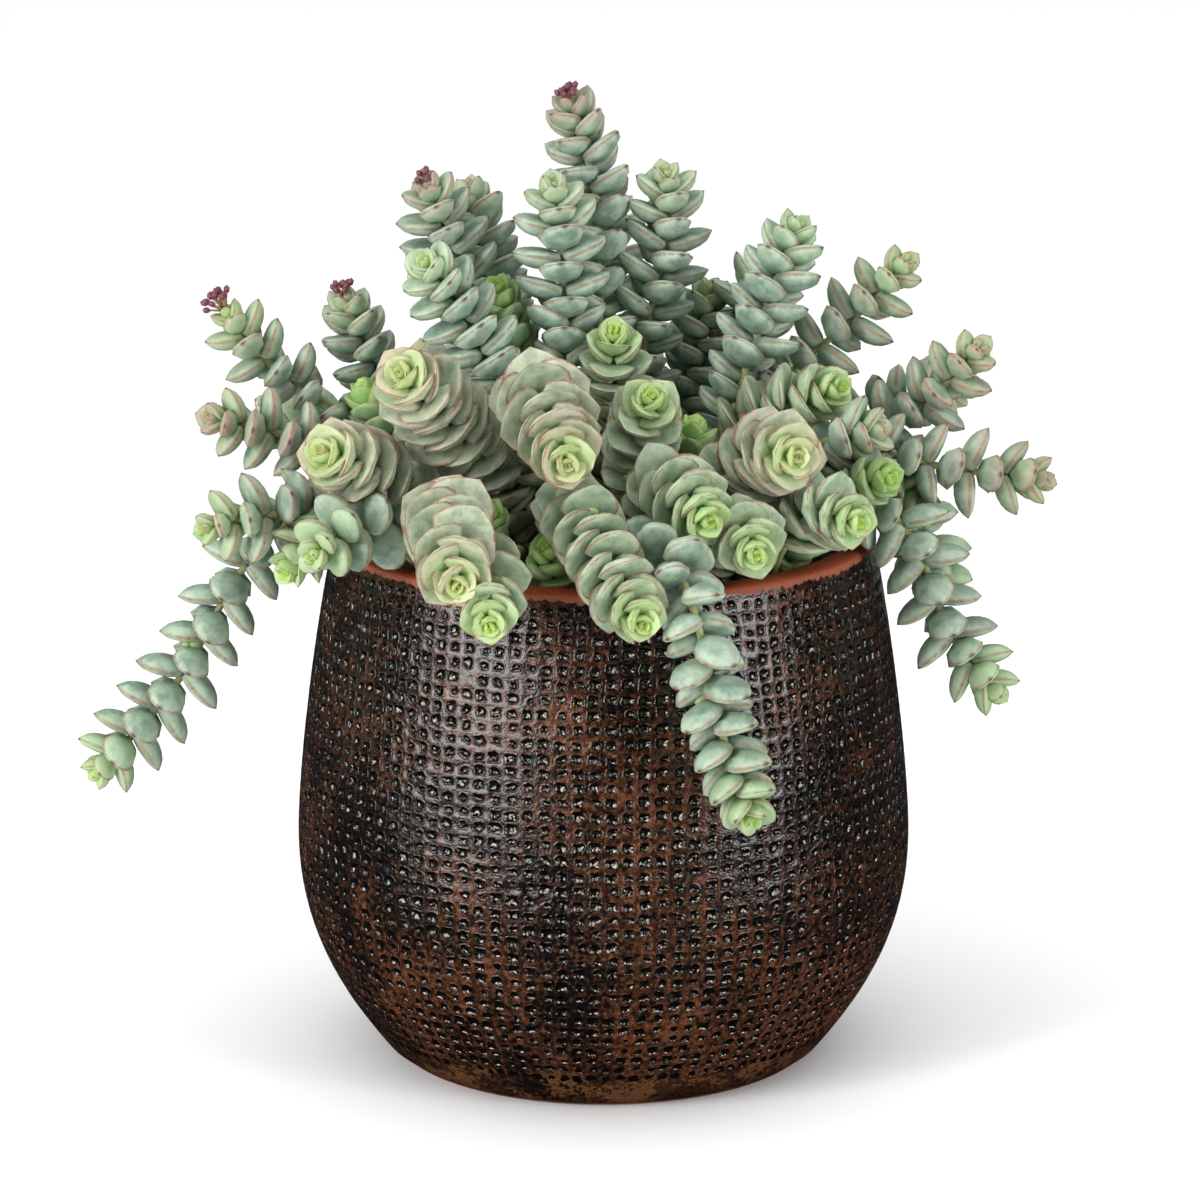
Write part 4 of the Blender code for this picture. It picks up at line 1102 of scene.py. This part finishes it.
# Heads of small dark flower buds: how many buds a stem has at its tip, how wide the head is and how
# far it stands up.
budHeads = {
    "arm_left_high": (13, 3.8, 6.0), "arm_left_upper": (9, 2.8, 5.2), "spire_tall": (9, 2.8, 4.4),
    "spire_behind_left": (5, 1.8, 3.8),
}
buds = {"turn": 2.4, "droop": 0.35, "varies": 0.5, "size": 0.78, "long": 1.35, "stalk": (0.3, 0.22),
        "stalkFrom": 0.2, "underTip": 0.5}


def growBuds(mesh, marks, stem, count, width, height):
    # Each bud is a small drawn-out ball on its own thin stalk.
    centre, upward, first, second = stem.sights(stem.length - buds["underTip"])
    for number in range(count):
        turn = number * buds["turn"]
        out = width * math.sqrt((number + 0.5) / count)
        aside = first * math.cos(turn) + second * math.sin(turn)
        rise = height - buds["droop"] * out + stem.draw.uniform(-buds["varies"], buds["varies"])
        top = centre + aside * out + upward * rise
        bottom = centre + upward * buds["stalkFrom"] * height
        turned = (top - bottom).to_track_quat("Z", "Y").to_matrix().to_4x4()
        stalk = bmesh.ops.create_cone(mesh, cap_ends=True, segments=5, radius1=buds["stalk"][0],
                                      radius2=buds["stalk"][1], depth=(top - bottom).length,
                                      matrix=Matrix.Translation((top + bottom) / 2) @ turned)["verts"]
        markBud(stalk, marks, 0)
        place = Matrix.Translation(top) @ turned @ Matrix.Diagonal((1, 1, buds["long"], 1))
        bud = bmesh.ops.create_icosphere(mesh, subdivisions=1, radius=buds["size"], matrix=place)["verts"]
        markBud(bud, marks, 1)


def markBud(corners, marks, isBud):
    for vertex in corners:
        vertex[marks] = (isBud, 0, 0, 0)
        for face in vertex.link_faces:
            face.material_index = 2


# Tiny side shoots: how often a leaf has one, above which pair from the tip there is none, the sizes of
# its pairs from below, how they lean, and where it starts along and above the leaf.
sideShoots = {"chance": 0.06, "youngest": 9, "leaf": 8.2, "sizes": (0.42, 0.3, 0.18), "rise": 1.0,
              "leans": (30, 48, 66), "outward": 0.75, "along": 1.8, "above": 0.8, "tint": 0.5}


class Shoot:
    # A tiny straight side shoot in the angle between a leaf and its stem.
    def __init__(self, stem, start, way):
        self.habit = dict(habits["sprig"], leaf=sideShoots["leaf"])
        self.start = start
        self.way = way
        self.side = way.orthogonal().normalized()
        self.draw = stem.draw

    def sights(self, at):
        return self.start + self.way * at, self.way, self.side, self.way.cross(self.side)


def growSideShoot(mesh, marks, stem, pair, number, side, tint):
    start, blade, _, upper = leafSights(stem, pair, number, side)
    way = (blade * sideShoots["outward"] + upper).normalized()
    shoot = Shoot(stem, start + blade * sideShoots["along"] + upper * sideShoots["above"], way)
    for step, (size, lean) in enumerate(zip(sideShoots["sizes"], sideShoots["leans"])):
        tiny = {"at": step * sideShoots["rise"], "size": size, "lean": lean, "turn": 0}
        for other in (0, 1):
            growLeaf(mesh, marks, shoot, tiny, 2 - step, other,
                     {"moreTurn": 0, "moreLean": 0, "share": 1}, tint * sideShoots["tint"])


def makeStem(stem, materials):
    mesh = bmesh.new()
    marks = mesh.verts.layers.float_color.new("leafMarks")
    growStem(mesh, marks, stem)
    blush = blushes.get(stem.name, blushes[stem.kind])
    for number, pair in enumerate(stem.pairs):
        for side in (0, 1):
            changes = stem.leaves.get((number, side))
            if not changes:
                continue
            tint = blush * stem.draw.uniform(*blushing["varies"])
            tint *= max(blushing["least"], 1 - number / blushing["pairs"])
            dusky = duskyTips.get(stem.name, 0) * (1 - number / blushing["duskyPairs"])
            tint = min(1, max(0, tint, dusky))
            growLeaf(mesh, marks, stem, pair, number, side, changes, tint)
            if number > sideShoots["youngest"] and stem.draw.uniform() < sideShoots["chance"]:
                growSideShoot(mesh, marks, stem, pair, number, side, tint)
    if stem.name in budHeads:
        growBuds(mesh, marks, stem, *budHeads[stem.name])
    bmesh.ops.recalc_face_normals(mesh, faces=mesh.faces)
    finishPiece(f"leafy_{stem.name}", mesh, materials, f"stem_{stem.name}")


# The leaves' colours as a screen shows them, and how much bloom, fresh green and dark tip they have.
leafColours = {
    "column": {"old": (131, 147, 122), "pale": (190, 202, 174), "young": (174, 199, 122),
               "heart": (176, 200, 58), "margin": (150, 96, 86), "tip": (120, 66, 60),
               "blush": (198, 158, 152), "bloom": 0.6, "freshness": 0.9, "point": 0.45},
    "spire": {"old": (114, 139, 122), "pale": (174, 194, 175), "young": (168, 192, 142),
              "heart": (172, 198, 84), "margin": (140, 118, 88), "tip": (96, 54, 46),
              "blush": (158, 108, 110), "bloom": 0.65, "freshness": 0.6, "point": 1.0},
    "rosette": {"old": (128, 150, 124), "pale": (184, 200, 170), "young": (168, 200, 122),
                "heart": (176, 204, 60), "margin": (156, 106, 94), "tip": (112, 60, 54),
                "blush": (190, 142, 130), "bloom": 0.6, "freshness": 0.9, "point": 0.6},
    "necklace": {"old": (112, 136, 118), "pale": (166, 185, 163), "young": (160, 186, 132),
                 "heart": (166, 194, 80), "margin": (146, 120, 92), "tip": (98, 48, 46),
                 "blush": (166, 118, 116), "bloom": 0.65, "freshness": 0.8, "point": 1.0},
    "sprig": {"old": (112, 142, 100), "pale": (156, 184, 136), "young": (148, 188, 94),
              "heart": (156, 196, 56), "margin": (146, 136, 84), "tip": (118, 70, 50),
              "blush": (178, 140, 124), "bloom": 0.45, "freshness": 1.0, "point": 0.6},
}

skin = {
    # Noise: scale, detail and roughness.
    "broad": (70, 2), "clouds": (330, 3, 0.6), "fine": (1900, 2, 0.6), "gaps": (480, 2), "dots": (900, 1),
    # Ramps: where each thing begins and is full, and what it goes from and to.
    "bloomClouds": (0.30, 0.66), "bloomBroad": (0.36, 0.64, -0.06, 0.34),
    # The margin's ramp is painted light: it paints the margins paler, like light shining through them, and
    # the leaf's middle darker, as painted shade.
    "paintedRimLightMiddleShade": (0.5, 0.92, -0.10, 0.24), "bloomFine": (0.3, 0.7, -0.07, 0.07),
    "fresh": (0.10, 0.75, 0.0, 0.9), "dusky": (0.35, 1.0),
    "heart": (0.50, 0.86), "rosyEdge": (0.70, 1.0), "rosyTip": (0.6, 1.0, 0.0, 0.4),
    "duskyTip": (0.3, 1.0, 0.0, 0.9), "rosyClouds": (0.2, 0.6, 0.55, 1.0), "line": (0.895, 0.955),
    "lineGaps": (0.3, 0.55, 0.35, 1.0), "lineBase": (0.06, 0.2), "flecks": (0.60, 0.68),
    "flecksEdge": (0.90, 0.97), "point": (0.976, 1.002), "roughness": (0.0, 1.0, 0.40, 0.62),
    # Shares, and how far noise shifts the line and the tip.
    "duskyNotFresh": 0.7, "heartDeep": 0.24, "tintNotHeart": 0.75, "blush": 0.7, "margin": 0.8,
    "fleck": 0.45, "lineWavers": 0.05, "pointWavers": 0.010, "cloudRelief": 0.7, "fineRelief": 0.22,
    "bump": (0.35, 0.0004), "specular": 0.42,
}

# Stems that have the skin and the leaves of another kind than their own.
otherSkins = {
    "rosette_centre_right": "rosette", "rosette_rim_right": "rosette", "rosette_right": "rosette",
    "rosette_far_right": "rosette", "shoulder_right": "rosette", "sprig_centre": "rosette",
    "sprig_over_rim_left": "rosette", "column_over_rim_front": "rosette", "rosette_front_left": "rosette",
}


def makeLeafSkin():
    group, given = newGroup("leafSkin", {"Vector": "Position", "Float": "Tint Bloom Freshness Point",
                            "Color": "Marks Old Pale Young Heart Margin Tip Blush"},
                            {"Color": "Colour", "Float": "Roughness Relief"})
    tint = given["Tint"]
    marks = addNode(group, "ShaderNodeSeparateColor", {0: given["Marks"]})
    along, edge, youth = marks["Red"], marks["Green"], marks["Blue"]
    broad, clouds, fine, gaps, dots = [given["Position"].grain(*skin[name])
                                       for name in ("broad", "clouds", "fine", "gaps", "dots")]

    # A pale bloom lies over the green, worn away in places, and young leaves are fresher. The margin ramp
    # adds painted light: paler margins, as if lit through the thin edge, and painted shade in the middle of
    # each leaf.
    bloom = clouds.ramp(*skin["bloomClouds"]) * given["Bloom"]
    for source, name in ((broad, "bloomBroad"), (edge, "paintedRimLightMiddleShade"), (fine, "bloomFine")):
        bloom = (bloom + source.ramp(*skin[name])).clamped()
    colour = mixColours(bloom, given["Old"], given["Pale"])
    dusky = tint.ramp(*skin["dusky"])
    fresh = youth.ramp(*skin["fresh"]) * given["Freshness"] * (1 - dusky * skin["duskyNotFresh"])
    colour = mixColours(fresh, colour, given["Young"])
    heart = (youth + along * -skin["heartDeep"]).ramp(*skin["heart"]) * (1 - tint * skin["tintNotHeart"])
    colour = mixColours(heart, colour, given["Heart"])

    # Pink spreads in from the margin, and a thin line with dark flecks runs along it to the tip.
    rosy = (edge.ramp(*skin["rosyEdge"]) + along.ramp(*skin["rosyTip"])) * tint
    rosy = rosy + dusky * along.ramp(*skin["duskyTip"])
    rosy = (rosy * clouds.ramp(*skin["rosyClouds"])).clamped()
    colour = mixColours(rosy * skin["blush"], colour, given["Blush"])
    line = (edge + (fine - 0.5) * skin["lineWavers"]).ramp(*skin["line"])
    line = line * gaps.ramp(*skin["lineGaps"]) * along.ramp(*skin["lineBase"])
    colour = mixColours(line * skin["margin"], colour, given["Margin"])
    flecks = dots.ramp(*skin["flecks"]) * edge.ramp(*skin["flecksEdge"]) * skin["fleck"]
    point = (along + clouds * skin["pointWavers"]).ramp(*skin["point"]) * given["Point"]
    addNode(group, "NodeGroupOutput", {
        "Colour": mixColours(flecks.larger(point), colour, given["Tip"]),
        "Roughness": bloom.ramp(*skin["roughness"]),
        "Relief": clouds * skin["cloudRelief"] + fine * skin["fineRelief"]})
    return group


def leafMarks(tree):
    return addNode(tree, "ShaderNodeAttribute", attribute_name="leafMarks")


def makeLeafMaterial(group, kind):
    material, tree = newMaterial(f"{kind}_leaf_skin")
    marks = leafMarks(tree)
    values = {name.capitalize(): screen(*value) if isinstance(value, tuple) else value
              for name, value in leafColours[kind].items()}
    made = useGroup(tree, group, Position=objectPlace(tree), Marks=marks["Color"], Tint=marks["Alpha"],
                    **values)
    return finishMaterial(material, made["Colour"], made["Roughness"], skin["specular"],
                          (made["Relief"], *skin["bump"]))


# The skins of the stems and the flower buds: pairs of colours that noise mixes.
stemSkin = {"fresh": ((150, 148, 88), (186, 186, 124)), "woody": ((84, 66, 44), (128, 106, 72)),
            "freshFrom": (0.16, 0.5), "clouds": (300, 3), "roughness": 0.55, "bump": (0.4, 0.0004)}
budSkin = {"bud": ((84, 38, 50), (134, 78, 88)), "stalk": (150, 120, 84), "clouds": (900, 3),
           "roughness": 0.45}


def makeStemMaterial():
    material, tree = newMaterial("stem_skin")
    clouds = objectPlace(tree).grain(*stemSkin["clouds"])
    along = addNode(tree, "ShaderNodeSeparateColor", {0: leafMarks(tree)["Color"]})["Red"]
    woody, fresh = [mixColours(clouds, *[screen(*colour) for colour in stemSkin[name]])
                    for name in ("woody", "fresh")]
    colour = mixColours(along.ramp(*stemSkin["freshFrom"]), woody, fresh)
    return finishMaterial(material, colour, stemSkin["roughness"], 0.5, (clouds, *stemSkin["bump"]))


def makeBudMaterial():
    material, tree = newMaterial("bud_skin")
    clouds = objectPlace(tree).grain(*budSkin["clouds"])
    isBud = addNode(tree, "ShaderNodeSeparateColor", {0: leafMarks(tree)["Color"]})["Red"]
    dark = mixColours(clouds, *[screen(*colour) for colour in budSkin["bud"]])
    colour = mixColours(isBud, screen(*budSkin["stalk"]), dark)
    return finishMaterial(material, colour, budSkin["roughness"], 0.5)


def growPlant():
    names = list(stems)
    courses = [firstCourse(stems[name][1], stems[name][2:]) for name in names]
    courses = bendClear(courses, [habits[stems[name][0]]["leaf"] for name in names])
    plants = [Stem(name, points, course["seed"] + number)
              for number, (name, points) in enumerate(zip(names, courses))]
    print(f"{len(plants)} stems bent clear of each other")
    findRoom(plants)
    print(f"{sum(len(stem.leaves) for stem in plants)} leaves placed")
    group = makeLeafSkin()
    leafMaterials = {kind: makeLeafMaterial(group, kind) for kind in leafColours}
    leafMaterials["trailing"] = leafMaterials["necklace"]
    others = [makeStemMaterial(), makeBudMaterial()]
    for stem in plants:
        makeStem(stem, [leafMaterials[otherSkins.get(stem.name, stem.kind)], *others])


# Everything, in order.
makeCamera()
makeStudio()
print("camera, light and floor are set")
makePot()
print("pot glazed")
makeSoil()
print("soil filled in")
growPlant()
print("plant grown")

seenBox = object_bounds()
for name, box in (("solids", cadBox), ("seen", seenBox)):
    print(name, [round(1000 * value, 1) for corner in box for value in corner])
